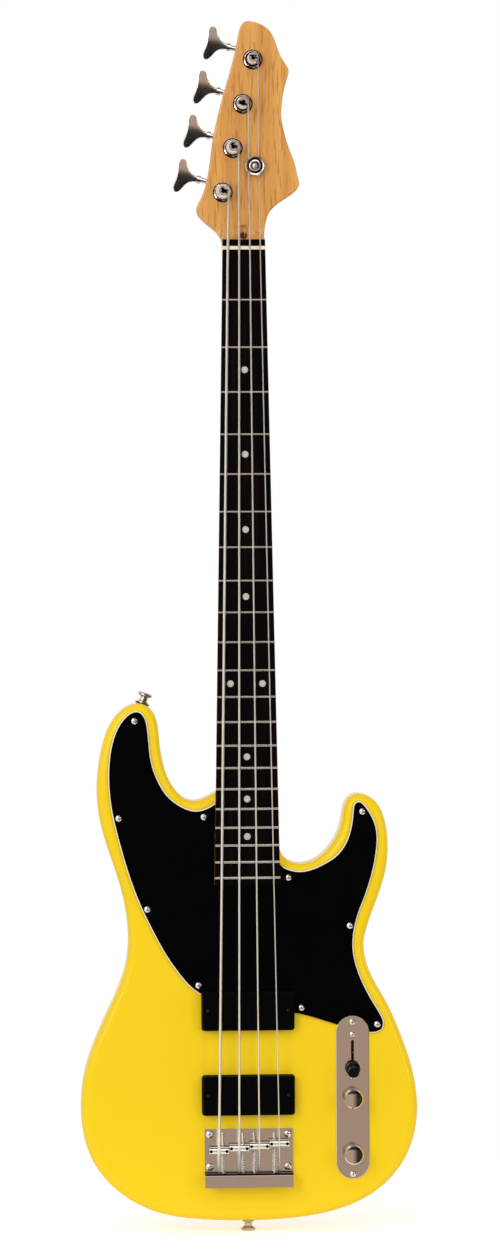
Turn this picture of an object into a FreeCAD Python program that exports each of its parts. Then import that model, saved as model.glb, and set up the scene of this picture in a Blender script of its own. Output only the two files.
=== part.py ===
# Electric bass guitar: solid body, bolted neck, four strings.
# Every piece is drawn on the bench: x to the right, y up the neck from the body's lower end,
# z out of the front, with the body's front face at z = 0. One placement then stands it upright.
import FreeCAD, Part
import math
import os
import re
from FreeCAD import Placement, Rotation, Vector

doc = FreeCAD.newDocument("electric_bass")
sheet = doc.addObject("Spreadsheet::Sheet", "sizes")

# Driving dimensions, in millimetres, degrees and counts
SIZES = {
    # shared clearances
    "overrun": 2.0,
    "fit_gap": 0.05,
    "running_gap": 0.06,
    "moving_gap": 0.3,
    # body
    "body_length": "=scale_length * body_length_share",
    "body_length_share": 0.5824456,
    "body_width": 327.0,
    "body_thickness": 44.5,
    "body_edge_radius": "=body_width * body_edge_share",
    "body_edge_share": 0.0244648,
    "pocket_depth": 16.0,
    "pocket_gap": 0.1,
    "pickup_cavity_depth": 20.0,
    "control_cavity_depth": 36.0,
    "control_cavity_rim": 3.2,
    "wire_channel_diameter": 8.0,
    # neck and headstock
    "scale_length": 863.6,
    "bridge_line_height": "=body_length * bridge_line_share",
    "bridge_line_share": 0.1538767,
    "nut_width": 41.3,
    "neck_end_width": 63.5,
    "neck_end_overhang": 6.5,
    "board_rise": 9.5,
    "board_thickness": 5.5,
    "board_radius": 305.0,
    "board_past_nut": 6.5,
    "neck_depth_first": 21.5,
    "neck_depth_octave": 23.0,
    "heel_run_out": 62.0,
    "heel_curve_length": 24.0,
    "headstock_length": 221.4,
    "headstock_width": 100.0,
    "headstock_thickness": 14.5,
    "headstock_drop": 6.0,
    "headstock_edge_radius": 1.6,
    "headstock_ramp_length": 14.0,
    "neck_blend_length": 42.0,
    "neck_back_flat": 3.0,
    "neck_side": 1.5,
    "neck_root_step": 0.2,
    "neck_root_overlap": 12.0,
    # truss rod
    "truss_rod_diameter": 6.0,
    "truss_rod_depth": 5.4,
    "truss_nut_diameter": 7.2,
    "truss_nut_length": 12.0,
    "truss_socket_diameter": 4.0,
    "truss_access_diameter": 8.4,
    "truss_access_length": 11.0,
    # frets, dots, nut
    "fret_count": 21,
    "fret_width": 2.3,
    "fret_height": 1.1,
    "fret_tang_width": 0.6,
    "fret_tang_depth": 1.6,
    "dot_diameter": 6.4,
    "dot_depth": 1.6,
    "dot_pair_spacing": 31.0,
    "side_dot_diameter": 2.2,
    "side_dot_depth": 3.0,
    "side_dot_drop": 3.2,
    "nut_thickness": 3.4,
    "nut_seat_depth": 3.0,
    "nut_string_height": 1.6,
    "nut_slot_share_height": 0.5,
    # strings
    "string_e_diameter": 2.67,
    "string_a_diameter": 2.16,
    "string_d_diameter": 1.65,
    "string_g_diameter": 1.14,
    "string_spread_nut": 31.2,
    "string_pitch_bridge": 19.5,
    "saddle_string_height": 5.0,
    "string_gap": 0.12,
    "string_nut_bend": 24.0,
    "string_guide_bend": 40.0,
    "string_blend_length": 12.0,
    "wind_gap": 0.7,
    "ball_diameter": 5.0,
    "ball_length": 5.0,
    # tuners
    "tuner_spacing": 43.9,
    "tuner_angle": 13.0,
    "tuner_first_x": -19.8,
    "tuner_first_rise": 56.0,
    "washer_diameter": 19.5,
    "washer_thickness": 1.2,
    "bushing_flats": 15.0,
    "bushing_height": 3.4,
    "bushing_sleeve_diameter": 13.0,
    "bushing_depth": 9.0,
    "post_journal_diameter": 9.6,
    "post_waist_diameter": 8.8,
    "post_head_diameter": 10.6,
    "post_flange_height": 1.2,
    "post_waist_height": 10.4,
    "post_head_height": 3.4,
    "post_bore_diameter": 4.4,
    "gear_teeth": 20,
    "gear_module": 0.6,
    "gear_height": 4.0,
    "gear_bore_diameter": 5.0,
    "gear_screw_head_diameter": 6.4,
    "gear_screw_head_height": 1.4,
    "gear_screw_diameter": 3.0,
    "gear_screw_length": 8.0,
    "worm_pitch_radius": 2.5,
    "worm_length_turns": 5,
    "housing_thickness": 1.8,
    "housing_width": 23.0,
    "housing_below": 11.0,
    "housing_above": 17.0,
    "bearing_length": 3.2,
    "bearing_width": 6.8,
    "bearing_drop": 3.4,
    "tuner_screw_diameter": 2.4,
    "tuner_screw_head_diameter": 4.4,
    "tuner_screw_head_height": 1.4,
    "tuner_screw_length": 11.0,
    "tuner_screw_inset": 2.8,
    "key_shaft_reach": 27.0,
    "key_collar_diameter": 7.8,
    "key_collar_length": 3.6,
    "key_sleeve_diameter": 5.2,
    "key_length": 23.0,
    "key_span": 33.6,
    "key_thickness": 5.0,
    "key_edge_radius": 1.2,
    # string guide
    "guide_diameter": 19.0,
    "guide_thickness": 2.6,
    "guide_edge_radius": 0.9,
    "guide_hub_diameter": 5.4,
    "guide_string_dip": 1.2,
    "guide_height": 6.0,
    "guide_x": 11.6,
    "guide_rise": 81.2,
    "guide_screw_diameter": 3.0,
    "guide_screw_head_diameter": 5.8,
    "guide_screw_head_height": 1.8,
    "guide_screw_length": 20.0,
    # pickguard
    "guard_thickness": 2.5,
    "guard_bevel": 1.3,
    "guard_gap": 0.4,
    "guard_screw_left_gap": 11.16,
    "guard_screw_right_gap": 8.22,
    "guard_screw_pickup_gap": 7.18,
    "plate_screw_diameter": 3.0,
    "plate_screw_head_diameter": 6.0,
    "plate_screw_head_height": 1.9,
    "plate_screw_length": 16.0,
    # pickups
    "pickup_length": 88.9,
    "pickup_width": 38.0,
    "pickup_rise": 9.0,
    "pickup_sink": 10.0,
    "pickup_corner_radius": 2.4,
    "pickup_edge_radius": 1.6,
    "pickup_wall": 2.0,
    "pickup_gap": 0.8,
    "pickup_neck_height": "=body_length * pickup_neck_share",
    "pickup_neck_share": 0.4075547,
    "pickup_bridge_height": "=body_length * pickup_bridge_share",
    "pickup_bridge_share": 0.2441352,
    "pickup_screw_spacing": 78.0,
    "pickup_screw_diameter": 3.0,
    "pickup_screw_head_diameter": 5.2,
    "pickup_screw_head_height": 1.6,
    "pickup_screw_sink": 2.2,
    "pickup_screw_boss_diameter": 7.6,
    "pickup_screw_into_body": 9.0,
    "coil_length": 64.0,
    "coil_width": 14.0,
    "coil_height": 11.0,
    "coil_core_width": 4.0,
    "magnet_width": 3.6,
    # bridge
    "bridge_width": 85.5,
    "bridge_plate_thickness": 2.0,
    "bridge_front_height": "=bridge_line_height + bridge_front_reach",
    "bridge_front_reach": 13.0,
    "bridge_wall_height": "=bridge_line_height - bridge_wall_reach",
    "bridge_wall_reach": 31.4,
    "bridge_hood_length": 13.6,
    "bridge_rise": 13.4,
    "bridge_bend_radius": 2.6,
    "bridge_screw_diameter": 4.0,
    "bridge_screw_head_diameter": 7.4,
    "bridge_screw_head_height": 2.4,
    "bridge_screw_length": 26.0,
    "bridge_screw_spread": 75.6,
    "bridge_screw_front_inset": 5.2,
    "bridge_screw_back_inset": 5.6,
    "saddle_width": 19.0,
    "saddle_length": 7.6,
    "saddle_foot": 0.7,
    "saddle_groove": 0.5,
    "saddle_e_setback": 7.6,
    "saddle_a_setback": 4.9,
    "saddle_d_setback": 3.0,
    "saddle_g_setback": 0.8,
    "height_screw_diameter": 3.0,
    "height_screw_spread": 15.2,
    "height_screw_socket_diameter": 1.6,
    "height_screw_proud": 0.6,
    "intonation_screw_diameter": 3.0,
    "intonation_head_diameter": 4.5,
    "intonation_head_length": 2.4,
    "intonation_offset": 4.3,
    "intonation_height": 5.0,
    "intonation_tip_inset": 3.6,
    "spring_wire_diameter": 0.7,
    "spring_diameter": 4.7,
    "spring_turns": 8,
    "ball_height": 8.3,
    # controls
    "control_plate_length": 158.6,
    "control_plate_width": 32.1,
    "control_plate_thickness": 1.5,
    "control_plate_edge": 0.5,
    "control_plate_x": "=body_width * control_plate_across_share",
    "control_plate_across_share": 0.3094801,
    "control_plate_height": "=body_length * control_plate_along_share",
    "control_plate_along_share": 0.2371769,
    "control_screw_inset": 5.35,
    "control_screw_spacing": "=control_plate_length - control_screw_inset * 2",
    "control_screw_offset": -0.3,
    "control_end_room": 2.05,
    "control_room": 3.6,
    "control_reach": "=control_screw_spacing / 2 - plate_screw_head_diameter",
    "pot_volume_height": "=switch_height - switch_frame_length / 2 - pot_can_diameter / 2 - control_room",
    "pot_tone_height": "=control_plate_height - control_reach + control_end_room + pot_can_diameter / 2",
    "pot_can_diameter": 24.0,
    "pot_can_height": 9.0,
    "pot_bushing_diameter": 9.4,
    "pot_bushing_rise": 5.0,
    "pot_shaft_diameter": 6.0,
    "pot_shaft_sink": 5.0,
    "pot_nut_flats": 12.4,
    "pot_nut_height": 2.2,
    "knob_diameter": 18.8,
    "knob_height": 16.5,
    "knob_lift": 0.7,
    "knob_top_edge": 1.0,
    "knob_recess_diameter": 15.4,
    "knob_recess_depth": 5.2,
    "knob_bore_depth": 13.5,
    "knob_set_screw_diameter": 3.0,
    "knob_set_screw_height": 8.6,
    "slot_length": 30.0,
    "slot_width": 2.8,
    "switch_height": "=control_plate_height + control_reach - control_end_room - switch_frame_length / 2",
    "switch_screw_spacing": 41.3,
    "switch_screw_diameter": 3.0,
    "switch_screw_head_diameter": 5.2,
    "switch_screw_head_height": 1.7,
    "switch_screw_length": 7.0,
    "switch_frame_length": 50.0,
    "switch_frame_width": 13.0,
    "switch_frame_wall": 1.2,
    "switch_cheek_length": 24.0,
    "switch_pivot_depth": 24.0,
    "switch_pin_diameter": 3.0,
    "switch_hub_diameter": 7.0,
    "switch_lean": 20.5,
    "lever_thickness": 1.4,
    "lever_width": 5.0,
    "lever_reach": 40.7,
    "tip_diameter": 14.0,
    "tip_waist_diameter": 11.0,
    "tip_height": 12.5,
    "tip_bottom": 32.2,
    "capacitor_diameter": 6.5,
    "capacitor_length": 14.0,
    "lead_diameter": 2.4,
    # output jack
    "jack_height": "=body_length * jack_share",
    "jack_share": 0.2127237,
    "jack_seat_depth": 1.0,
    "jack_flange_diameter": 25.0,
    "jack_flange_thickness": 1.5,
    "jack_cup_diameter": 21.0,
    "jack_cup_depth": 9.0,
    "jack_cup_wall": 1.4,
    "jack_thread_diameter": 9.4,
    "jack_thread_length": 9.0,
    "jack_bore_diameter": 6.5,
    "jack_nut_flats": 12.7,
    "jack_nut_thickness": 2.0,
    "jack_frame_diameter": 15.0,
    "jack_frame_length": 20.0,
    # neck plate
    "neck_plate_length": "=body_length * neck_plate_share",
    "neck_plate_share": 0.1153082,
    "neck_plate_width": 46.0,
    "neck_plate_thickness": 2.0,
    "neck_plate_corner": 7.0,
    "neck_plate_inset": 5.0,
    "neck_screw_inset": 7.0,
    "neck_screw_diameter": 4.4,
    "neck_screw_head_diameter": 8.4,
    "neck_screw_head_height": 2.6,
    "neck_screw_length": 42.0,
    # strap buttons
    "button_height": 9.8,
    "button_head_diameter": 14.2,
    "button_waist_diameter": 7.4,
    "button_base_diameter": 11.0,
    "button_head_thickness": 4.2,
    "button_base_thickness": 2.4,
    "felt_diameter": 14.0,
    "felt_thickness": 1.6,
    "seat_flat_depth": 0.7,
    "button_screw_diameter": 3.6,
    "button_screw_head_diameter": 7.0,
    "button_screw_head_height": 1.8,
    "button_screw_length": 36.0,
    "button_screw_sink": 1.6,
}
for row, alias in enumerate(SIZES, 1):
    sheet.set("A%d" % row, alias)
    sheet.setAlias("B%d" % row, alias)
for row, value in enumerate(SIZES.values(), 1):
    sheet.set("B%d" % row, str(value))
doc.recompute()


class Sizes:
    """Reads a driving dimension from the sheet by its alias."""

    def __getattr__(self, alias):
        return float(sheet.get(alias))


size = Sizes()
RIGHT = Vector(1, 0, 0)
UP = Vector(0, 1, 0)
FRONT = Vector(0, 0, 1)
ORIGIN = Vector(0, 0, 0)
QUARTER = math.pi / 2
pieces = []


# Small helpers for drawing
def bind(thing, prop, text):
    """Binds one property to a formula in sheet aliases."""

    def prefix(found):
        return "sizes." + found.group() if found.group() in SIZES else found.group()

    thing.setExpression(prop, re.sub(r"[a-z][a-z_]+", prefix, text))


def piece(thing, label):
    """Registers a finished document object as a named piece."""
    thing.Label = label
    pieces.append(thing)
    return thing


def solid_piece(label, shape):
    """A piece whose shape is worked out from the sheet's sizes."""
    thing = doc.addObject("Part::Feature", label)
    thing.Shape = shape
    return piece(thing, label)


def group_piece(label, shapes):
    return solid_piece(label, Part.makeCompound(shapes))


def rod(radius, start, direction, length):
    return Part.makeCylinder(radius, length, start, direction)


def block(low, high):
    return Part.makeBox(high.x - low.x, high.y - low.y, high.z - low.z, low)


def turned(profile):
    """A solid of revolution about z from (radius, height) corners."""
    corners = [Vector(radius, 0, height) for radius, height in profile]
    face = Part.Face(Part.makePolygon(corners + corners[:1]))
    return face.revolve(ORIGIN, FRONT, 360)


def placed(shape, base, rotation=Rotation()):
    copy = shape.copy()
    copy.Placement = Placement(base, rotation).multiply(copy.Placement)
    return copy


def aimed(shape, base, direction):
    return placed(shape, base, Rotation(FRONT, direction))


def hexagon(flats, height):
    corner = flats / 2 / math.cos(math.radians(30))
    ring = [Vector(corner * math.cos(math.radians(60 * i)), corner * math.sin(math.radians(60 * i)), 0)
            for i in range(6)]
    return Part.Face(Part.makePolygon(ring + ring[:1])).extrude(FRONT * height)


def prism(corners, low, height):
    """An upright prism over plan corners."""
    ring = [Vector(x, y, low) for x, y in corners]
    return Part.Face(Part.makePolygon(ring + ring[:1])).extrude(FRONT * height)


def side_prism(corners, half_width):
    """A prism across x over side-view corners (y, z)."""
    ring = [Vector(-half_width, y, z) for y, z in corners]
    return Part.Face(Part.makePolygon(ring + ring[:1])).extrude(RIGHT * 2 * half_width)


def smooth(points, closed=False):
    curve = Part.BSplineCurve()
    curve.interpolate(Points=points, PeriodicFlag=closed)
    return curve


def curve_parts(curve, count):
    """The same curve in a number of joined lengths."""
    first = curve.FirstParameter
    step = (curve.LastParameter - first) / count
    parts = [curve.copy() for i in range(count)]
    for i, part in enumerate(parts):
        part.segment(first + step * i, first + step * (i + 1))
    return parts


def line(start, end):
    return Part.LineSegment(start, end)


def rounded_box(low_x, high_x, low_y, high_y, radius):
    """Plan geometry of a rectangle with round corners."""
    turn = radius * (1 - math.sqrt(0.5))
    parts = []
    corners = ((high_x, low_y, 1, -1), (high_x, high_y, 1, 1), (low_x, high_y, -1, 1),
               (low_x, low_y, -1, -1))
    ends = []
    for x, y, sx, sy in corners:
        along_x = Vector(x - sx * radius, y, 0)
        along_y = Vector(x, y - sy * radius, 0)
        middle = Vector(x - sx * turn, y - sy * turn, 0)
        first, last = (along_x, along_y) if sx * sy < 0 else (along_y, along_x)
        parts.append(Part.Arc(first, middle, last))
        ends.append((first, last))
    for i in range(4):
        parts.append(line(ends[i][1], ends[(i + 1) % 4][0]))
    return parts


def stadium(x, low_y, high_y, radius):
    """Plan geometry of an upright slot with round ends."""
    return [
        Part.Arc(Vector(x + radius, high_y - radius, 0), Vector(x, high_y, 0),
                 Vector(x - radius, high_y - radius, 0)),
        line(Vector(x - radius, high_y - radius, 0), Vector(x - radius, low_y + radius, 0)),
        Part.Arc(Vector(x - radius, low_y + radius, 0), Vector(x, low_y, 0),
                 Vector(x + radius, low_y + radius, 0)),
        line(Vector(x + radius, low_y + radius, 0), Vector(x + radius, high_y - radius, 0)),
    ]


def plan_solid(geometry, low, height):
    """An upright solid over closed plan geometry."""
    wire = Part.Wire(Part.__sortEdges__([g.toShape() for g in geometry]))
    wire.translate(FRONT * low)
    return Part.Face(wire).extrude(FRONT * height)


# Feature helpers
def new_body(label):
    return piece(doc.addObject("PartDesign::Body", label), label)


def sketch(body, geometry, plane="XY_Plane", lift=None):
    drawing = body.newObject("Sketcher::SketchObject", body.Name + "_sketch")
    support = [f for f in body.Origin.OriginFeatures if f.Role == plane][0]
    drawing.AttachmentSupport = [(support, "")]
    drawing.MapMode = "FlatFace"
    if lift:
        bind(drawing, "AttachmentOffset.Base.z", lift)
    for shape in geometry:
        drawing.addGeometry(shape, False)
    return drawing


def pad(body, drawing, length, backward=False):
    feature = body.newObject("PartDesign::Pad", body.Name + "_pad")
    feature.Profile = drawing
    feature.Reversed = backward
    bind(feature, "Length", length)
    doc.recompute()
    return feature


def pocket(body, drawing, length, backward=False):
    before = body.Shape.Volume
    feature = body.newObject("PartDesign::Pocket", body.Name + "_pocket")
    feature.Profile = drawing
    feature.Reversed = backward
    bind(feature, "Length", length)
    doc.recompute()
    if not body.Shape.Volume < before:
        raise ValueError("pocket cut nothing in " + body.Name)
    return feature


def dress(body, kind, feature, prop, formula, chosen):
    """Rounds or bevels the edges of a feature that a test picks."""
    names = ["Edge%d" % (i + 1) for i, e in enumerate(feature.Shape.Edges) if chosen(e)]
    dressed = body.newObject("PartDesign::" + kind, body.Name + "_" + kind.lower())
    dressed.Base = (feature, names)
    bind(dressed, prop, formula)
    doc.recompute()
    return dressed


def level(edge, height):
    box = edge.BoundBox
    return abs(box.ZMin - height) < size.fit_gap and abs(box.ZMax - height) < size.fit_gap


def circle(x, y, diameter):
    return Part.Circle(Vector(x, y, 0), FRONT, diameter / 2)


def cut_piece(label, base, tools):
    """A piece made by cutting a set of tools from a base object."""
    tool = doc.addObject("Part::Feature", label + "_tools")
    tool.Shape = tools[0].fuse(tools[1:])
    cut = doc.addObject("Part::Cut", label + "_cut")
    cut.Base = base
    cut.Tool = tool
    doc.recompute()
    if base in pieces:
        pieces.remove(base)
        base.Label = label + "_blank"
    return piece(cut, label)


# Screws: domed head with a cross recess, plain shank with a point, drawn head up along z
RECESS_WIDTH_SHARE = 0.16
RECESS_LENGTH_SHARE = 0.62
RECESS_DEPTH_SHARE = 0.55
HEAD_RIM_SHARE = 0.3
HEAD_DOME_SHARE = 0.8
POINT_SHARE = 1.2


def screw(head_diameter, head_height, diameter, length):
    rim = head_height * HEAD_RIM_SHARE
    half = head_diameter / 2
    shank = diameter / 2
    corners = [Vector(0, 0, head_height), Vector(0, 0, -length),
               Vector(shank, 0, -length + shank * POINT_SHARE),
               Vector(shank, 0, 0), Vector(half, 0, 0), Vector(half, 0, rim)]
    edges = [line(a, b).toShape() for a, b in zip(corners, corners[1:])]
    dome = Vector(half / 2, 0, rim + (head_height - rim) * HEAD_DOME_SHARE)
    edges.append(Part.Arc(corners[-1], dome, corners[0]).toShape())
    shape = Part.Face(Part.Wire(edges)).revolve(ORIGIN, FRONT, 360)
    wide = head_diameter * RECESS_WIDTH_SHARE / 2
    reach = head_diameter * RECESS_LENGTH_SHARE / 2
    deep = head_height * (1 - RECESS_DEPTH_SHARE)
    cross = block(Vector(-wide, -reach, deep), Vector(wide, reach, head_height + size.overrun))
    cross = cross.fuse(block(Vector(-reach, -wide, deep), Vector(reach, wide, head_height + size.overrun)))
    return shape.cut(cross)


def screw_hole(diameter, length):
    """The hole that a screw of this shank needs below its seat, and through what it clamps."""
    depth = length + size.fit_gap
    return rod(diameter / 2 + size.fit_gap, Vector(0, 0, -depth), FRONT, depth + size.overrun)


# Path helpers: straight runs, tangent arcs and biarcs
def arc_from(start, tangent, end):
    """The arc that leaves start along tangent and ends at end."""
    chord = end - start
    along = Vector(chord).normalize()
    across = tangent - along * tangent.dot(along)
    if across.Length < 1e-9:
        return line(start, end).toShape()
    angle = math.acos(max(-1.0, min(1.0, tangent.dot(along) / tangent.Length)))
    sag = chord.Length / 2 * math.tan(angle / 2)
    middle = start + chord * 0.5 + across.normalize() * sag
    return Part.Arc(start, middle, end).toShape()


def biarc(start, first, end, last):
    """Two arcs that join a start and an end with given unit tangents."""
    span = end - start
    total = first + last
    square = 2 * (1 - first.dot(last))
    slope = span.dot(total)
    if square < 1e-12:
        reach = span.dot(span) / (4 * span.dot(first))
    else:
        reach = (-slope + math.sqrt(slope * slope + square * span.dot(span))) / square
    middle = (start + first * reach + end - last * reach) * 0.5
    one = arc_from(start, first, middle)
    two = arc_from(end, last * -1, middle)
    halfway = two.valueAt((two.FirstParameter + two.LastParameter) / 2)
    return [one, Part.Arc(middle, halfway, end).toShape()]


def rounded_route(points, radii):
    """Straight runs through points with a tangent arc of a given radius at each inner point."""
    edges = []
    here = points[0]
    for i in range(1, len(points) - 1):
        before = (points[i] - points[i - 1]).normalize()
        after = (points[i + 1] - points[i]).normalize()
        turn = math.acos(max(-1.0, min(1.0, before.dot(after))))
        reach = radii[i - 1] * math.tan(turn / 2)
        leave = points[i] - before * reach
        join = points[i] + after * reach
        edges.append(line(here, leave).toShape())
        edges.append(arc_from(leave, before, join))
        here = join
    edges.append(line(here, points[-1]).toShape())
    return edges


def tube(edges, start, direction, diameter):
    """One unbroken round tube along joined edges."""
    path = Part.Wire(edges)
    ring = Part.Wire(Part.Circle(start, direction, diameter / 2).toShape())
    shell = Part.BRepOffsetAPI.MakePipeShell(path)
    shell.add(ring)
    shell.build()
    shell.makeSolid()
    return shell.shape()


def least_gap(edges, diameter, step):
    """Least clear distance of a tube to itself, measured on points along its path."""
    spots = []
    for edge in edges:
        spots += edge.discretize(max(2, int(edge.Length / step)))[:-1]
    along = [0]
    for a, b in zip(spots, spots[1:]):
        along.append(along[-1] + (b - a).Length)
    least = None
    for i in range(len(spots)):
        for j in range(i + 1, len(spots)):
            if along[j] - along[i] > diameter * math.pi:
                gap = (spots[j] - spots[i]).Length - diameter
                if least is None or gap < least:
                    least = gap
    return least


# Levels and stations shared by many pieces
nut_y = size.bridge_line_height + size.scale_length
board_top = size.board_rise
wood_top = size.board_rise - size.board_thickness
head_face = wood_top - size.headstock_drop
head_back = head_face - size.headstock_thickness
body_back = -size.body_thickness
mid_depth = body_back / 2


def fret_y(number):
    return nut_y - size.scale_length * (1 - 2 ** (-number / 12))


neck_end_y = fret_y(size.fret_count) - size.neck_end_overhang
board_end_y = nut_y + size.nut_thickness + size.board_past_nut


def neck_half(y):
    """Half the neck's width at a station; it stops tapering at the end of the fingerboard."""
    share = (min(y, board_end_y) - neck_end_y) / (nut_y - neck_end_y)
    return (size.neck_end_width + (size.nut_width - size.neck_end_width) * share) / 2


def board_height(x):
    """Level of the fingerboard's crowned face."""
    return board_top - size.board_radius + math.sqrt(size.board_radius ** 2 - x * x)


STRINGS = ("e", "a", "d", "g")
gauge = {"e": size.string_e_diameter, "a": size.string_a_diameter,
         "d": size.string_d_diameter, "g": size.string_g_diameter}
setback = {"e": size.saddle_e_setback, "a": size.saddle_a_setback,
           "d": size.saddle_d_setback, "g": size.saddle_g_setback}
string_space = (size.string_spread_nut - sum(gauge.values()) + (gauge["e"] + gauge["g"]) / 2) / 3
nut_x = {}
place = -size.string_spread_nut / 2
for i, name in enumerate(STRINGS):
    nut_x[name] = place
    if name != "g":
        place += gauge[name] / 2 + string_space + gauge[STRINGS[i + 1]] / 2
saddle_x = {name: size.string_pitch_bridge * (i - 1.5) for i, name in enumerate(STRINGS)}
saddle_y = {name: size.bridge_line_height - setback[name] for name in STRINGS}
nut_z = {name: board_height(nut_x[name]) + size.nut_string_height + gauge[name] / 2 for name in STRINGS}
saddle_z = {name: board_height(saddle_x[name]) + size.saddle_string_height + gauge[name] / 2
            for name in STRINGS}

# Tuner frame: its y runs up the row of posts, its -x points at the key
tuner_turn = Rotation(FRONT, -size.tuner_angle)
row_way = tuner_turn.multVec(UP)
post_at = {name: Vector(size.tuner_first_x,
                        nut_y + size.tuner_first_rise, 0) + row_way * size.tuner_spacing * i
           for i, name in enumerate(STRINGS)}
guide_at = Vector(size.guide_x, nut_y + size.guide_rise, 0)

# Outline of the body in shares of its width and length, anticlockwise from the long horn's tip
BODY_AXIS_SHARE = 0.0021
BODY_END_SHARE = 0.0020
BODY_SHARES = [
    (-0.3216, 1.0019), (-0.3659, 0.9893), (-0.3882, 0.9746), (-0.4091, 0.9513), (-0.4236, 0.9233),
    (-0.4338, 0.8930), (-0.4407, 0.8548), (-0.4399, 0.8087), (-0.4216, 0.7470), (-0.3905, 0.6853),
    (-0.3640, 0.6237), (-0.3512, 0.5600), (-0.3535, 0.5188), (-0.3663, 0.4801), (-0.4050, 0.4190),
    (-0.4467, 0.3596), (-0.4796, 0.2989), (-0.4937, 0.2341), (-0.4880, 0.1763), (-0.4553, 0.1144),
    (-0.4205, 0.0830), (-0.3645, 0.0507), (-0.2725, 0.0204), (-0.1565, 0.0062), (-0.0139, 0.0020),
    (0.1287, 0.0054), (0.2599, 0.0199), (0.3706, 0.0509), (0.4279, 0.0822), (0.4669, 0.1168),
    (0.4995, 0.1760), (0.5053, 0.2227), (0.4890, 0.2969), (0.4561, 0.3606), (0.4138, 0.4232),
    (0.3651, 0.4820), (0.3515, 0.5127), (0.3485, 0.5386), (0.3572, 0.5652), (0.3892, 0.6230),
    (0.4163, 0.6819), (0.4219, 0.7258), (0.4085, 0.7836), (0.3887, 0.8076), (0.3585, 0.8213),
    (0.3255, 0.8237), (0.3066, 0.8169), (0.2938, 0.8030), (0.2863, 0.7783), (0.2743, 0.7500),
    (0.2524, 0.7260), (0.2232, 0.7055), (0.1935, 0.6939), (0.1613, 0.6903), (0.1236, 0.6974),
    (0.1010, 0.7175), (0.0890, 0.7520), (0.0670, 0.7893), (0.0267, 0.8167), (-0.0180, 0.8303),
    (-0.0575, 0.8341), (-0.0918, 0.8286), (-0.1231, 0.8181), (-0.1581, 0.8131), (-0.1894, 0.8215),
    (-0.2141, 0.8397), (-0.2331, 0.8626), (-0.2464, 0.8916), (-0.2546, 0.9263), (-0.2601, 0.9608),
    (-0.2726, 0.9839), (-0.2935, 0.9973),
]


def on_body(shares):
    x, y = shares
    return Vector(size.body_width * (x - BODY_AXIS_SHARE), size.body_length * (y - BODY_END_SHARE), 0)


RIM_PARTS = 6
body_curve = smooth([on_body(s) for s in BODY_SHARES], True)


def rim_spot(x, y):
    """The point of the body's outline nearest a plan point, with its outward direction."""
    at = body_curve.parameter(Vector(x, y, 0))
    along = Vector(*body_curve.tangent(at)[0])
    spot = body_curve.value(at)
    return Vector(spot.x, spot.y, mid_depth), Vector(along.y, -along.x, 0).normalize()


# Where the screws of the flat plates stand
GUARD_SCREW_SHARES = [
    (-0.3290, 0.9690), (-0.3775, 0.7820), (-0.2945, 0.6065), (-0.1440, 0.4590),
    (0.3450, 0.7915), (0.3060, 0.5715), (0.3860, 0.3805),
]
INNER_SCREW_SHARES = (0.7835, 0.6655, 0.4140)
guard_screw_spots = [on_body(s) for s in GUARD_SCREW_SHARES]
left_y, right_y, beside_y = [on_body((0, s)).y for s in INNER_SCREW_SHARES]
guard_screw_spots.append(Vector(-neck_half(left_y) - size.guard_screw_left_gap, left_y, 0))
guard_screw_spots.append(Vector(neck_half(right_y) + size.guard_screw_right_gap, right_y, 0))
guard_screw_spots.append(Vector(size.pickup_length / 2 + size.guard_screw_pickup_gap, beside_y, 0))
control_screw_spots = [Vector(size.control_plate_x, size.control_plate_height + size.control_screw_offset
                              + sign * size.control_screw_spacing / 2, 0) for sign in (1, -1)]
switch_screw_spots = [Vector(size.control_plate_x,
                             size.switch_height + sign * size.switch_screw_spacing / 2, 0)
                      for sign in (1, -1)]
bridge_front_row = size.bridge_front_height - size.bridge_screw_front_inset
bridge_back_row = size.bridge_wall_height + size.bridge_plate_thickness + size.bridge_screw_back_inset
bridge_screw_spots = [Vector(sign * size.bridge_screw_spread / 2, y, 0)
                      for sign in (-1, 1) for y in (bridge_front_row, bridge_back_row)]
pickup_heights = (size.pickup_neck_height, size.pickup_bridge_height)
pickup_screw_spots = [Vector(sign * size.pickup_screw_spacing / 2, y, 0) for y in pickup_heights
                      for sign in (-1, 1)]
neck_plate_low = neck_end_y + size.neck_plate_inset
neck_screw_spots = [Vector(sign * (size.neck_plate_width / 2 - size.neck_screw_inset), y, 0)
                    for sign in (-1, 1)
                    for y in (neck_plate_low + size.neck_screw_inset,
                              neck_plate_low + size.neck_plate_length - size.neck_screw_inset)]
strap_spots = [rim_spot(0, 0), rim_spot(on_body((-0.3050, 1.0)).x, on_body((-0.3050, 1.0)).y)]
jack_x = size.body_width * (max(s[0] for s in BODY_SHARES) - BODY_AXIS_SHARE) - size.jack_seat_depth
jack_at = Vector(jack_x, size.jack_height, mid_depth)

# Body: slab with a rounded rim, then its pockets and holes
slab = doc.addObject("PartDesign::Body", "slab")
pad(slab, sketch(slab, curve_parts(body_curve, RIM_PARTS)), "body_thickness", True)
rounded = doc.addObject("Part::Fillet", "rounded_slab")
rounded.Base = slab
rounded.Edges = [(i + 1, size.body_edge_radius, size.body_edge_radius)
                 for i, e in enumerate(slab.Shape.Edges)
                 if level(e, 0) or level(e, body_back)]
doc.recompute()

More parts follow.
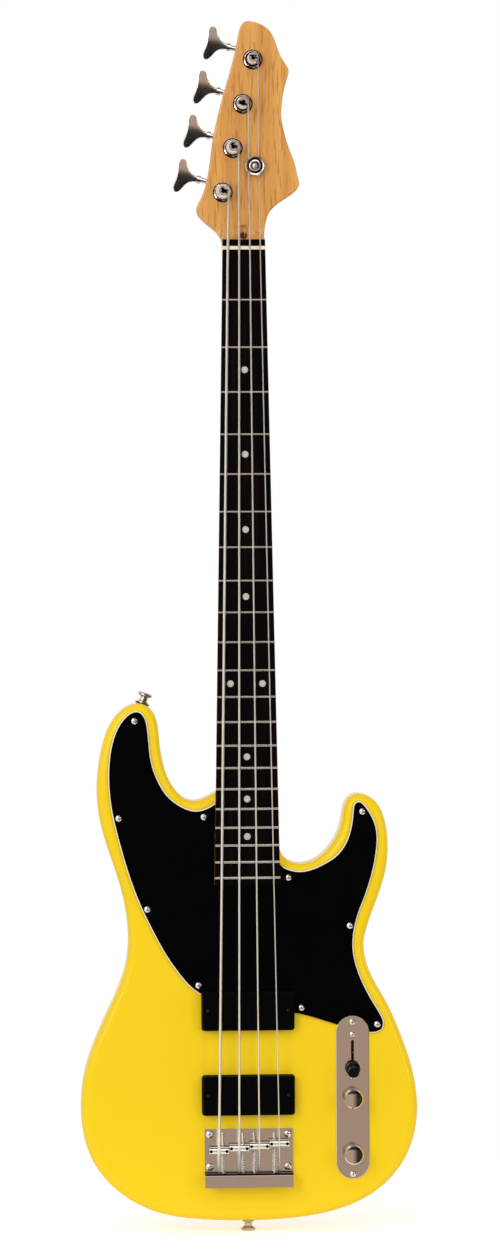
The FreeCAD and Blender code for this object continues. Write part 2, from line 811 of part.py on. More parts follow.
tools = []
pocket_gap = size.pocket_gap
pocket_top = on_body((0, 1)).y
pocket_low = neck_end_y - pocket_gap
tools.append(prism([(-neck_half(pocket_low) - pocket_gap, pocket_low),
                    (neck_half(pocket_low) + pocket_gap, pocket_low),
                    (neck_half(pocket_top) + pocket_gap, pocket_top),
                    (-neck_half(pocket_top) - pocket_gap, pocket_top)],
                   -size.pocket_depth - pocket_gap, size.pocket_depth + pocket_gap + size.overrun))
cavity_half_x = size.pickup_length / 2 + size.pickup_gap
cavity_half_y = size.pickup_width / 2 + size.pickup_gap
for y in pickup_heights:
    tools.append(plan_solid(rounded_box(-cavity_half_x, cavity_half_x, y - cavity_half_y, y + cavity_half_y,
                                        size.pickup_corner_radius + size.pickup_gap),
                            -size.pickup_cavity_depth, size.pickup_cavity_depth + size.overrun))
control_half = size.control_plate_width / 2 - size.control_cavity_rim
tools.append(plan_solid(rounded_box(size.control_plate_x - control_half, size.control_plate_x + control_half,
                                    size.control_plate_height - size.control_reach,
                                    size.control_plate_height + size.control_reach,
                                    control_half / 2),
                        -size.control_cavity_depth, size.control_cavity_depth + size.overrun))
channel = size.wire_channel_diameter / 2
channel_z = -size.pickup_cavity_depth + channel + size.fit_gap
channel_x = size.pickup_length / 4
tools.append(rod(channel, Vector(channel_x, size.pickup_bridge_height, channel_z), UP,
                 size.pickup_neck_height - size.pickup_bridge_height))
channel_y = size.pickup_bridge_height - size.pickup_width / 4
tools.append(rod(channel, Vector(channel_x, channel_y, channel_z), RIGHT, size.control_plate_x - channel_x))
jack_hole = size.jack_cup_diameter / 2 + size.fit_gap
tools.append(rod(jack_hole, Vector(size.control_plate_x, size.jack_height, mid_depth), RIGHT, jack_x))
tools.append(rod(size.jack_flange_diameter / 2 + size.moving_gap, jack_at, RIGHT,
                 size.jack_seat_depth + size.overrun))
for spot, out in strap_spots:
    tools.append(aimed(screw_hole(size.button_screw_diameter, size.button_screw_length), spot, out))
    if spot.y > 0.5 * size.body_length:
        tools.append(rod(size.felt_diameter / 2 + size.moving_gap, spot - out * size.seat_flat_depth, out,
                         size.seat_flat_depth + size.overrun))
for spot in guard_screw_spots + control_screw_spots:
    tools.append(placed(screw_hole(size.plate_screw_diameter, size.plate_screw_length), spot))
for spot in bridge_screw_spots:
    tools.append(placed(screw_hole(size.bridge_screw_diameter, size.bridge_screw_length), spot))
for spot in pickup_screw_spots:
    tools.append(placed(screw_hole(size.pickup_screw_diameter,
                                   size.pickup_cavity_depth + size.pickup_screw_into_body),
                        spot))
for spot in neck_screw_spots:
    tools.append(rod(size.neck_screw_diameter / 2 + size.fit_gap, spot + FRONT * (body_back - size.overrun),
                     FRONT,
                     size.body_thickness))
cut_piece("body", rounded, tools)

# Neck: one lofted length from the square heel through the round shaft to the headstock's root
CURVE_STEPS = 6
board_cover = size.board_thickness
depth_first = size.neck_depth_first - board_cover
depth_octave = size.neck_depth_octave - board_cover
depth_head = wood_top - head_back
depth_heel = wood_top + size.pocket_depth
root_y = nut_y - size.nut_width / 10
heel_top = neck_end_y + size.heel_run_out
heel_deep = -size.pocket_depth


def neck_section(y, depth, square, inset=0):
    """Flat top, short sides and a back that runs from round (square 0) to square (square 1)."""
    half = neck_half(y) - inset
    depth = depth - inset
    wide = half - size.neck_back_flat / 2
    deep = depth - size.neck_side
    wide += (size.headstock_edge_radius - wide) * square
    deep += (size.headstock_edge_radius - deep) * square
    curve = []
    for i in range(CURVE_STEPS + 1):
        angle = QUARTER * i / CURVE_STEPS
        curve.append((half - wide + wide * math.cos(angle),
                      wood_top - depth + deep - deep * math.sin(angle)))
    right = [Vector(x, y, z) for x, z in curve]
    left = [Vector(-x, y, z) for x, z in reversed(curve)]
    top_right = Vector(half, y, wood_top)
    top_left = Vector(-half, y, wood_top)
    return Part.Wire([line(top_left, top_right).toShape(), line(top_right, right[0]).toShape(),
                      smooth(right).toShape(),
                      line(right[-1], left[0]).toShape(), smooth(left).toShape(),
                      line(left[-1], top_left).toShape()])


def ease(share):
    """Leaves and arrives level."""
    return share * share * (3 - 2 * share)


BLEND_STEPS = 8
blend_start = root_y - size.neck_blend_length
stations = [(neck_end_y, depth_heel, 1), (heel_top, depth_heel, 1)]
for i in range(1, BLEND_STEPS + 1):
    share = ease(i / BLEND_STEPS)
    stations.append((heel_top + size.heel_curve_length * i / BLEND_STEPS,
                     depth_heel + (depth_octave - depth_heel) * share, 1 - share))
stations += [(fret_y(12), depth_octave, 0), (fret_y(5), (depth_first + depth_octave) / 2, 0),
             (blend_start, depth_first, 0)]
for i in range(1, BLEND_STEPS + 1):
    share = ease(i / BLEND_STEPS)
    stations.append((blend_start + size.neck_blend_length * i / BLEND_STEPS,
                     depth_first + (depth_head - depth_first) * share, share, size.neck_root_step * share))
shaft = Part.makeLoft([neck_section(*station) for station in stations], True, True)

# Outline of the headstock in shares of its width and of its length above the nut, clockwise from the tip
HEAD_SHARES = [
    (0.079, 1.000), (0.021, 0.9965), (-0.012, 0.980), (-0.040, 0.936), (-0.162, 0.717), (-0.295, 0.472),
    (-0.420, 0.218), (-0.452, 0.180), (-0.440, 0.156), (-0.403, 0.1345), (-0.346, 0.1115), (-0.278, 0.0865),
    (-0.232, 0.060), (-0.210, 0.032),
]
HEAD_RIGHT_SHARES = [
    (0.205, 0.034), (0.203, 0.072), (0.214, 0.1135), (0.254, 0.166), (0.307, 0.194), (0.380, 0.2185),
    (0.467, 0.2445), (0.526, 0.269), (0.544, 0.289), (0.532, 0.319), (0.504, 0.376), (0.461, 0.429),
    (0.421, 0.4815), (0.390, 0.538), (0.374, 0.5905), (0.380, 0.639), (0.396, 0.6915), (0.419, 0.731),
    (0.443, 0.766), (0.448, 0.788), (0.427, 0.808), (0.369, 0.8495), (0.327, 0.902), (0.302, 0.9305),
    (0.268, 0.957), (0.205, 0.981), (0.079, 1.000),
]


def on_head(shares):
    x, y = shares
    return Vector(size.headstock_width * x, nut_y + size.headstock_length * y, 0)


root_left = Vector(-neck_half(root_y), root_y, 0)
root_right = Vector(neck_half(root_y), root_y, 0)
below_root = UP * size.neck_root_overlap
head_left = smooth([on_head(s) for s in HEAD_SHARES] + [root_left, root_left - below_root])
head_right = smooth([root_right - below_root, root_right] + [on_head(s) for s in HEAD_RIGHT_SHARES])
head_plan = [head_left, line(root_left - below_root, root_right - below_root), head_right]
ramp_low = board_end_y + size.headstock_ramp_length
head_far = nut_y + size.headstock_length + size.overrun
RAMP_RUN_SHARE = 0.38
RAMP_RISE_SHARE = 0.28
ramp_top = Vector(0, board_end_y, wood_top)
ramp_foot = Vector(0, ramp_low, head_face)
ramp_middle = Vector(0, board_end_y + size.headstock_ramp_length * RAMP_RUN_SHARE,
                     head_face + size.headstock_drop * RAMP_RISE_SHARE)
over_far = Vector(0, head_far, wood_top + size.overrun)
over_near = Vector(0, board_end_y, wood_top + size.overrun)
above_head = Part.Face(Part.Wire([
    Part.Arc(ramp_top, ramp_middle, ramp_foot).toShape(),
    line(ramp_foot, Vector(0, head_far, head_face)).toShape(),
    line(Vector(0, head_far, head_face), over_far).toShape(), line(over_far, over_near).toShape(),
    line(over_near, ramp_top).toShape()]))
above_head.translate(RIGHT * -size.headstock_width)
headstock = plan_solid(head_plan, head_back, depth_head)
headstock = headstock.cut(above_head.extrude(RIGHT * size.headstock_width * 2))
rim_edges = [e for e in headstock.Edges if (level(e, head_face) or level(e, head_back))
             and e.BoundBox.YMax - e.BoundBox.YMin > size.nut_width]
headstock = headstock.makeFillet(size.headstock_edge_radius, rim_edges)
headstock = headstock.cut(block(Vector(-size.headstock_width, root_y - size.headstock_width,
                                       head_back - size.overrun),
                                Vector(size.headstock_width, root_y, wood_top + size.overrun)))
neck_shape = shaft.fuse(headstock).removeSplitter()

truss_z = wood_top - size.truss_rod_depth
truss_low = neck_end_y + size.heel_run_out
truss_high = board_end_y - size.truss_nut_length / 2
cuts = []
rod_hole = size.truss_rod_diameter / 2 + size.fit_gap
cuts.append(rod(rod_hole, Vector(0, truss_low, truss_z), UP, truss_high - truss_low))
access = size.truss_access_diameter / 2
access_low = truss_high - size.truss_nut_length / 2 - size.fit_gap
access_high = board_end_y + size.truss_access_length
cuts.append(rod(access, Vector(0, access_low, truss_z), UP, access_high - access_low))
cuts.append(Part.makeSphere(access, Vector(0, access_high, truss_z)))
sleeve_hole = size.bushing_sleeve_diameter / 2 + size.fit_gap
for name in STRINGS:
    spot = post_at[name]
    cuts.append(rod(sleeve_hole, Vector(spot.x, spot.y, head_back - size.overrun), FRONT,
                    size.headstock_thickness + size.overrun * 2))
tuner_screw_spots = []
housing_half = size.housing_width / 2
for name in STRINGS:
    for x in (-housing_half + size.tuner_screw_inset, housing_half - size.tuner_screw_inset):
        for y in (-size.housing_below + size.tuner_screw_inset, size.housing_above - size.tuner_screw_inset):
            turned_spot = tuner_turn.multVec(Vector(x, y, 0)) + post_at[name]
            tuner_screw_spots.append(Vector(turned_spot.x, turned_spot.y,
                                            head_back - size.housing_thickness))
for spot in tuner_screw_spots:
    cuts.append(aimed(screw_hole(size.tuner_screw_diameter, size.tuner_screw_length), spot, FRONT * -1))
cuts.append(placed(screw_hole(size.guide_screw_diameter, size.guide_screw_length + size.guide_height),
                   guide_at + FRONT * (head_face + size.guide_height)))
neck_screw_reach = body_back - size.neck_plate_thickness + size.neck_screw_length
for spot in neck_screw_spots:
    cuts.append(rod(size.neck_screw_diameter / 2 + size.fit_gap, spot + FRONT * (heel_deep - size.overrun),
                    FRONT,
                    neck_screw_reach - heel_deep + size.overrun + size.fit_gap))
solid_piece("neck", neck_shape.cut(cuts).removeSplitter())

# Fingerboard: tapered, crowned, slotted for the frets and the nut
crown = rod(size.board_radius, Vector(0, neck_end_y - size.overrun, board_top - size.board_radius), UP,
            board_end_y - neck_end_y + size.overrun * 2)
board = prism([(-neck_half(neck_end_y), neck_end_y), (neck_half(neck_end_y), neck_end_y),
               (neck_half(board_end_y), board_end_y), (-neck_half(board_end_y), board_end_y)],
              wood_top, size.board_thickness + size.overrun).common(crown)


def board_bar(y, profile, half):
    """A bar bent over the fingerboard's crown, from a side profile of (y, height) corners."""
    centre = board_top - size.board_radius
    corners = [Vector(0, y + dy, board_top + dz) for dy, dz in profile]
    angle = math.degrees(math.asin(half / size.board_radius))
    face = Part.Face(Part.makePolygon(corners + corners[:1]))
    face.rotate(Vector(0, 0, centre), UP, -angle)
    return face.revolve(Vector(0, 0, centre), UP, 2 * angle)


CROWN_SHARES = [(1.0, 0.0), (0.96, 0.35), (0.78, 0.72), (0.45, 0.95), (0.0, 1.0)]
fret_half = size.fret_width / 2
tang_half = size.fret_tang_width / 2
crown_side = [(fret_half * a, size.fit_gap + (size.fret_height - size.fit_gap) * b) for a, b in CROWN_SHARES]
fret_profile = [(-y, z) for y, z in reversed(crown_side[:-1])]
fret_profile = list(reversed(fret_profile)) + list(reversed(crown_side))
fret_profile += [(tang_half, size.fit_gap), (tang_half, -size.fret_tang_depth),
                 (-tang_half, -size.fret_tang_depth), (-tang_half, size.fit_gap)]
slot_half = tang_half + size.fit_gap
slot_profile = [(-slot_half, -size.fret_tang_depth - size.fit_gap),
                (slot_half, -size.fret_tang_depth - size.fit_gap),
                (slot_half, size.overrun), (-slot_half, size.overrun)]
frets = []
cuts = []
for number in range(1, int(size.fret_count) + 1):
    y = fret_y(number)
    frets.append(board_bar(y, fret_profile, neck_half(y) - size.fit_gap))
    cuts.append(board_bar(y, slot_profile, neck_half(y) + size.overrun))
nut_floor = board_top - size.nut_seat_depth
cuts.append(block(Vector(-size.nut_width, nut_y, nut_floor),
                  Vector(size.nut_width, nut_y + size.nut_thickness, board_top + size.overrun)))
DOT_FRETS = (3, 5, 7, 9, 15, 17, 19)
dots = []


def dot_height(number):
    return (fret_y(number) + fret_y(number - 1)) / 2


dot_spots = [Vector(0, dot_height(n), 0) for n in DOT_FRETS]
dot_spots += [Vector(sign * size.dot_pair_spacing / 2, dot_height(12), 0) for sign in (-1, 1)]
dot_base = board_height(size.dot_pair_spacing / 2 + size.dot_diameter / 2) - size.dot_depth
for spot in dot_spots:
    start = spot + FRONT * dot_base
    dots.append(rod(size.dot_diameter / 2, start, FRONT, size.board_thickness).common(crown))
    cuts.append(rod(size.dot_diameter / 2 + size.fit_gap, start - FRONT * size.fit_gap, FRONT,
                    size.board_thickness))
for n in DOT_FRETS + (12,):
    for shift in ((-1, 1) if n == 12 else (0,)):
        y = dot_height(n) + shift * size.side_dot_diameter * 1.5
        edge = -neck_half(y)
        start = Vector(edge + size.side_dot_depth, y, board_top - size.side_dot_drop)
        dots.append(rod(size.side_dot_diameter / 2, start, RIGHT * -1, size.side_dot_depth))
        cuts.append(rod(size.side_dot_diameter / 2 + size.fit_gap, start + RIGHT * size.fit_gap, RIGHT * -1,
                        size.side_dot_depth + size.overrun))
solid_piece("fingerboard", board.cut(cuts))
group_piece("frets", frets)
group_piece("inlay_dots", dots)

# Truss rod with its socket nut in the headstock's access hole
rod_base = doc.addObject("Part::Cylinder", "truss_bar")
bind(rod_base, "Radius", "truss_rod_diameter / 2")
rod_base.Height = access_low - truss_low - size.fit_gap
rod_base.Placement = Placement(Vector(0, truss_low + size.fit_gap, truss_z), Rotation(FRONT, UP))
truss_nut = rod(size.truss_nut_diameter / 2, Vector(0, access_low + size.fit_gap, truss_z), UP,
                size.truss_nut_length)
socket = placed(hexagon(size.truss_socket_diameter, size.truss_nut_length / 2 + size.overrun),
                Vector(0, access_low + size.truss_nut_length / 2, truss_z), Rotation(FRONT, UP))
doc.recompute()
group_piece("truss_rod", [rod_base.Shape.copy(), truss_nut.cut(socket)])

# String routes: from the ball, over the saddle and the nut, to the post
wall_back = size.bridge_wall_height
wall_front = wall_back + size.bridge_plate_thickness
guide_under = head_face + size.guide_height - size.guide_thickness
post_floor = head_face + size.washer_thickness + size.bushing_height + size.post_flange_height
WINDS = {"e": 2, "a": 2, "d": 2.5, "g": 3}
wind_radius = {n: size.post_waist_diameter / 2 + size.string_gap + gauge[n] / 2 for n in STRINGS}
wind_pitch = {n: gauge[n] + size.wind_gap for n in STRINGS}
wind_low = {n: post_floor + size.string_gap + gauge[n] / 2 for n in STRINGS}
nut_ways = {}
slot_facing = {}
slot_level = {}


def string_route(name):
    radius = wind_radius[name]
    ball = Vector(saddle_x[name], wall_back - size.ball_diameter / 2, size.ball_height)
    over = Vector(saddle_x[name], saddle_y[name], saddle_z[name] + size.string_gap)
    nut = Vector(nut_x[name], nut_y + size.nut_thickness / 2, nut_z[name] + size.string_gap)
    route = [ball + UP * (size.ball_diameter / 2 + size.fit_gap + gauge[name] / 4), over, nut]
    radii = [size.saddle_length / 2 + gauge[name] / 2, size.string_nut_bend]
    post = post_at[name]
    last = nut
    if name in ("d", "g"):
        share = (guide_at.y - nut.y) / (post.y - nut.y)
        goal = post.x + radius
        last = Vector(nut.x + (goal - nut.x) * share, guide_at.y,
                      guide_under - gauge[name] / 2 - size.string_gap - size.guide_string_dip)
        route.append(last)
        radii.append(size.string_guide_bend)
    # the string meets the winding on the post's right side and turns anticlockwise, climbing
    flat = Vector(post.x - last.x, post.y - last.y, 0)
    reach = math.sqrt(flat.Length ** 2 - radius ** 2)
    lean = math.degrees(math.asin(radius / flat.Length))
    heading = Rotation(FRONT, -lean).multVec(Vector(flat).normalize())
    contact = Vector(last.x, last.y, 0) + heading * reach
    contact.z = wind_low[name]
    rise = wind_pitch[name] / (2 * math.pi * radius)
    start_angle = math.atan2(contact.y - post.y, contact.x - post.x)

    def on_coil(turned_by):
        angle = start_angle + turned_by
        spot = Vector(post.x + radius * math.cos(angle), post.y + radius * math.sin(angle),
                      wind_low[name] + rise * radius * turned_by)
        way = Vector(-math.sin(angle), math.cos(angle), rise).normalize()
        return spot, way

    blend = contact - heading * size.string_blend_length
    share = (reach - size.string_blend_length) / reach
    blend.z = last.z + (contact.z - last.z) * share
    route.append(blend)
    edges = rounded_route(route, radii)
    nut_ways[name] = (nut, over, route[3])
    arrive = (blend - route[-2]).normalize()
    first_spot, first_way = on_coil(0)
    edges += biarc(blend, arrive, first_spot, first_way)
    steps = int(WINDS[name] * 4)
    spot, way = first_spot, first_way
    for i in range(steps):
        next_spot, next_way = on_coil(QUARTER * (i + 1))
        edges += biarc(spot, way, next_spot, next_way)
        spot, way = next_spot, next_way
    slot_facing[name] = math.degrees(start_angle + QUARTER * steps)
    slot_level[name] = spot.z
    # the end bends in through the slot and stops over the post's bore
    turn = gauge[name] / 2 + size.wind_gap
    flat_way = Vector(way.x, way.y, 0).normalize()
    inward = Vector(post.x - spot.x, post.y - spot.y, 0).normalize()
    level_way = flat_way
    lead = spot + flat_way * turn * 0.5
    lead.z = spot.z + rise * turn * 0.25
    edges += biarc(spot, way, lead, level_way)
    bend_end = lead + flat_way * turn + inward * turn
    edges.append(arc_from(lead, level_way, bend_end))
    stop = bend_end + inward * (radius - turn) * 0.8
    edges.append(line(bend_end, stop).toShape())
    return edges, (over - route[0]).normalize(), route[0], (lead, bend_end, stop, flat_way, inward)


routes = {name: string_route(name) for name in STRINGS}
for name in STRINGS:
    edges, way, start, ending = routes[name]
    ball = rod(size.ball_diameter / 2, Vector(saddle_x[name] - size.ball_length / 2,
                                              wall_back - size.ball_diameter / 2,
                                              size.ball_height), RIGHT, size.ball_length)
    string = tube(edges, start, way, gauge[name])
    length = sum(e.Length for e in edges)
    share = string.Volume / (math.pi * gauge[name] ** 2 / 4 * length)
    gap = least_gap(edges[-int(WINDS[name] * 8) - 6:], gauge[name], gauge[name] / 4)
    print("string_%s: volume share %.4f, least gap to itself %.2f mm" % (name, share, gap))
    group_piece("string_" + name, [string, ball])

# Nut: crowned blank with a slot under each string
nut_blank = block(Vector(-size.nut_width / 2, nut_y + size.fit_gap, nut_floor + size.fit_gap),
                  Vector(size.nut_width / 2, nut_y + size.nut_thickness - size.fit_gap,
                         board_top + size.board_thickness))
nut_rise = size.nut_string_height + size.string_d_diameter * size.nut_slot_share_height
nut_crown = rod(size.board_radius + nut_rise, Vector(0, nut_y - size.overrun, board_top - size.board_radius),
                UP,
                size.nut_thickness + size.overrun * 2)
cuts = []
for name in STRINGS:
    half = gauge[name] / 2 + size.string_gap
    centre, before, after = nut_ways[name]
    for goal in (before, after):
        way = (goal - centre).normalize()
        cuts.append(rod(half, centre - way * half, way, size.nut_thickness + size.overrun))
    cuts.append(block(centre - Vector(half, size.nut_thickness, 0),
                      centre + Vector(half, size.nut_thickness, size.board_thickness)))
solid_piece("nut", nut_blank.common(nut_crown).cut(cuts))

# String guide: a disc on a hub, held by one screw
guide_half = size.guide_diameter / 2
guide_top = size.guide_height
guide_low = size.guide_height - size.guide_thickness
edge = size.guide_edge_radius
guide = turned([(0, 0), (size.guide_hub_diameter / 2, 0), (size.guide_hub_diameter / 2, guide_low),
                (guide_half - edge, guide_low), (guide_half, guide_low + edge),
                (guide_half, guide_top - edge),
                (guide_half - edge, guide_top), (0, guide_top)])
guide = guide.cut(rod(size.guide_screw_diameter / 2 + size.fit_gap, ORIGIN - FRONT * size.overrun, FRONT,
                      guide_top + size.overrun * 2))
solid_piece("string_guide", placed(guide, guide_at + FRONT * head_face))
solid_piece("string_guide_screw",
            placed(screw(size.guide_screw_head_diameter, size.guide_screw_head_height,
                         size.guide_screw_diameter,
                         size.guide_screw_length), guide_at + FRONT * (head_face + size.guide_height)))

# Tuners: bushing and washer, housing, post with its gear, key with its worm
gear_radius = size.gear_module * size.gear_teeth / 2
worm_pitch = math.pi * size.gear_module
axle_apart = gear_radius + size.worm_pitch_radius
housing_low = head_back - size.housing_thickness
gear_high = housing_low - size.moving_gap
gear_low = gear_high - size.gear_height
worm_z = (gear_high + gear_low) / 2
TOOTH_SHARE = 0.30
TOOTH_TIP_SHARE = 0.20
TOOTH_ROOT_SHARE = 0.40
ADDENDUM_SHARE = 1.0
DEDENDUM_SHARE = 1.25
tip_radius = gear_radius + size.gear_module * ADDENDUM_SHARE
root_radius = gear_radius - size.gear_module * DEDENDUM_SHARE
step_angle = 2 * math.pi / size.gear_teeth


def gear_ring(height, turn):
    """One closed outline of the gear, turned a little for the worm's lead; a gap faces the worm."""
    corners = []
    for i in range(int(size.gear_teeth)):
        middle = math.pi / 2 + step_angle * (i + 0.5) + turn
        for radius, share in ((root_radius, -TOOTH_ROOT_SHARE), (tip_radius, -TOOTH_TIP_SHARE),
                              (tip_radius, TOOTH_TIP_SHARE), (root_radius, TOOTH_ROOT_SHARE)):
            angle = middle + step_angle * share / 2
            corners.append(Vector(radius * math.cos(angle), radius * math.sin(angle), height))
    return Part.makePolygon(corners + corners[:1])


lead_slope = worm_pitch / (2 * math.pi * size.worm_pitch_radius)
twist = lead_slope * size.gear_height / 2 / gear_radius
gear = Part.makeLoft([gear_ring(gear_low, -twist), gear_ring(gear_high, twist)], True, True)
gear = gear.cut(rod(size.gear_bore_diameter / 2 + size.fit_gap, FRONT * (gear_low - size.overrun), FRONT,
                    size.gear_height + size.overrun * 2))

# Worm: a right-handed thread on the key's shaft, drawn along z and then laid across the post
worm_core = size.worm_pitch_radius - size.gear_module * DEDENDUM_SHARE
worm_tip = size.worm_pitch_radius + size.gear_module * ADDENDUM_SHARE
worm_length = worm_pitch * size.worm_length_turns
helix = Part.makeHelix(worm_pitch, worm_length, worm_core)
inner = worm_core - size.moving_gap
thread_profile = Part.makePolygon([Vector(inner, 0, -worm_pitch * TOOTH_ROOT_SHARE / 2),
                                   Vector(worm_tip, 0, -worm_pitch * TOOTH_TIP_SHARE / 2),
                                   Vector(worm_tip, 0, worm_pitch * TOOTH_TIP_SHARE / 2),
                                   Vector(inner, 0, worm_pitch * TOOTH_ROOT_SHARE / 2),
                                   Vector(inner, 0, -worm_pitch * TOOTH_ROOT_SHARE / 2)])
thread = Part.Wire(helix).makePipeShell([thread_profile], True, True)
worm_middle = worm_pitch * (size.worm_length_turns // 2)

# Outline of the key in shares of its length and half span, from the collar outwards
KEY_SHARES = [(0.0, 0.15), (0.14, 0.17), (0.34, 0.26), (0.50, 0.48), (0.62, 0.76), (0.74, 0.955),
              (0.87, 1.0),
              (0.965, 0.88), (1.0, 0.70), (0.965, 0.34), (0.945, 0.0)]
key_upper = [Vector(-size.key_length * a, size.key_span / 2 * b, 0) for a, b in KEY_SHARES]
key_lower = [Vector(p.x, -p.y, 0) for p in key_upper[:-1]]
key_curve = smooth(key_upper + list(reversed(key_lower)))
paddle = plan_solid([key_curve, line(key_lower[0], key_upper[0])], -size.key_thickness / 2,
                    size.key_thickness)
paddle_edges = [e for e in paddle.Edges if e.BoundBox.YMax - e.BoundBox.YMin > size.key_span / 2]
paddle = paddle.makeFillet(size.key_edge_radius, paddle_edges)
collar_x = -size.key_shaft_reach
collar = rod(size.key_collar_diameter / 2, Vector(collar_x, 0, 0), RIGHT, size.key_collar_length)
shaft_start = -size.key_shaft_reach - size.key_length * 0.3
thread_low = -worm_middle
thread_high = thread_low + worm_length
thread_room = worm_pitch * TOOTH_ROOT_SHARE + size.moving_gap
sleeve_start = collar_x + size.key_collar_length
sleeve_end = -housing_half - size.key_collar_length / 2
key_sleeve = rod(size.key_sleeve_diameter / 2, Vector(sleeve_start, 0, 0), RIGHT, sleeve_end - sleeve_start)
shaft_end = thread_high + thread_room + size.bearing_length + size.moving_gap
key_shaft = rod(worm_core, Vector(shaft_start, 0, 0), RIGHT, shaft_end - shaft_start)
worm_way = Rotation(FreeCAD.Matrix(0, 0, 1, 0, -1, 0, 0, 0, 0, -1, 0, 0, 0, 0, 0, 1))
laid_thread = placed(thread, Vector(-worm_middle, 0, 0), worm_way)
key_shape = key_shaft.fuse([laid_thread, collar, key_sleeve,
                            placed(paddle, Vector(collar_x + size.key_collar_length / 2, 0, 0))])

# Housing: a plate under the headstock with two bearings for the worm shaft
housing = block(Vector(-housing_half, -size.housing_below, housing_low),
                Vector(housing_half, size.housing_above, head_back))
bearing_half = size.bearing_width / 2
bearing_spans = ((thread_low - thread_room - size.bearing_length, thread_low - thread_room),
                 (thread_high + thread_room, thread_high + thread_room + size.bearing_length))
for low_x, high_x in bearing_spans:
    housing = housing.fuse(block(Vector(low_x, axle_apart - bearing_half, worm_z - size.bearing_drop),
                                 Vector(high_x, axle_apart + bearing_half, housing_low)))
housing = housing.cut(rod(worm_core + size.running_gap, Vector(-housing_half * 2, axle_apart, worm_z), RIGHT,
                          housing_half * 4))
housing = housing.cut(rod(worm_tip + size.moving_gap, Vector(thread_low - thread_room, axle_apart, worm_z),
                          RIGHT,
                          worm_length + thread_room * 2))
housing = housing.cut(rod(size.post_journal_diameter / 2 + size.running_gap,
                          FRONT * (housing_low - size.overrun), FRONT,
                          size.housing_thickness + size.overrun * 2))
for x in (-housing_half + size.tuner_screw_inset, housing_half - size.tuner_screw_inset):
    for y in (-size.housing_below + size.tuner_screw_inset, size.housing_above - size.tuner_screw_inset):
        housing = housing.cut(rod(size.tuner_screw_diameter / 2 + size.fit_gap,
                                  Vector(x, y, housing_low - size.overrun), FRONT,
                                  size.housing_thickness + size.overrun * 2))
bushing_base = head_face + size.washer_thickness
bushing_bore = size.post_journal_diameter / 2 + size.running_gap
bushing = placed(hexagon(size.bushing_flats, size.bushing_height), FRONT * bushing_base)
bushing = bushing.fuse(rod(size.bushing_sleeve_diameter / 2, FRONT * (bushing_base - size.bushing_depth),
                           FRONT, size.bushing_depth))
bushing = bushing.cut(rod(bushing_bore, FRONT * (bushing_base - size.bushing_depth - size.overrun), FRONT,
                          size.bushing_depth + size.bushing_height + size.overrun * 2))
washer = rod(size.washer_diameter / 2, FRONT * head_face, FRONT, size.washer_thickness)
washer = washer.cut(rod(sleeve_hole, FRONT * (head_face - size.overrun), FRONT,
                        size.washer_thickness + size.overrun * 2))

bushing_top = bushing_base + size.bushing_height
flange_low = bushing_top + size.fit_gap
waist_low = post_floor
waist_high = waist_low + size.post_waist_height
post_top = waist_high + size.post_head_height
journal = size.post_journal_diameter / 2
waist = size.post_waist_diameter / 2
head = size.post_head_diameter / 2
seat = size.gear_bore_diameter / 2
head_bevel = size.post_head_height / 5
post_blank = turned([(0, gear_low), (seat, gear_low), (seat, gear_high), (journal, gear_high),
                     (journal, flange_low),
                     (head, flange_low), (head, waist_low), (waist, waist_low), (waist, waist_high),
                     (head, waist_high),
                     (head, post_top - head_bevel), (head - head_bevel, post_top), (0, post_top)])
gear_screw = screw(size.gear_screw_head_diameter, size.gear_screw_head_height, size.gear_screw_diameter,
                   size.gear_screw_length)
gear_screw = aimed(gear_screw, FRONT * gear_low, FRONT * -1)
post_blank = post_blank.cut(aimed(screw_hole(size.gear_screw_diameter, size.gear_screw_length),
                                  FRONT * gear_low, FRONT * -1))
housings = []
bushings = []
for name in STRINGS:
    base = post_at[name]
    housings.append(placed(housing, base, tuner_turn))
    bushings += [placed(bushing, base, tuner_turn), placed(washer, base, tuner_turn)]
    edges, way, start, ending = routes[name]
    lead, bend_end, stop, flat_way, inward = ending
    room = gauge[name] / 2 + size.string_gap
    floor = slot_level[name] - gauge[name] / 2 - size.string_gap
    turn = gauge[name] / 2 + size.wind_gap
    # the slot follows the string's end: a straight cut to the bore and a rounded mouth
    far = inward * (head * 2)
    side = flat_way * room
    mouth_start = Vector(bend_end.x, bend_end.y, 0) - inward * turn * 2
    straight = [mouth_start - side, mouth_start + side, mouth_start + far + side, mouth_start + far - side]
    slot = prism([(p.x, p.y) for p in straight], floor, post_top - floor + size.overrun)
    mouth = rod(turn + room, Vector(lead.x + inward.x * turn, lead.y + inward.y * turn, floor), FRONT,
                post_top - floor + size.overrun)
    bore = rod(size.post_bore_diameter / 2, Vector(base.x, base.y, floor - size.post_bore_diameter), FRONT,
               post_top - floor + size.post_bore_diameter + size.overrun)
    post = placed(post_blank, base).cut([slot, mouth, bore])
    post_solid = max(post.Solids, key=lambda s: s.Volume)
    group_piece("tuner_%s_post" % name, [post_solid, placed(gear, base, tuner_turn),
                                         placed(gear_screw, base, tuner_turn)])
    key_base = base + tuner_turn.multVec(Vector(0, axle_apart, 0)) + FRONT * worm_z
    solid_piece("tuner_%s_key" % name, placed(key_shape, key_base, tuner_turn))
group_piece("tuner_housings", housings)
group_piece("tuner_bushings", bushings)
tuner_screw = screw(size.tuner_screw_head_diameter, size.tuner_screw_head_height, size.tuner_screw_diameter,
                    size.tuner_screw_length)
group_piece("tuner_screws", [aimed(tuner_screw, spot, FRONT * -1) for spot in tuner_screw_spots])

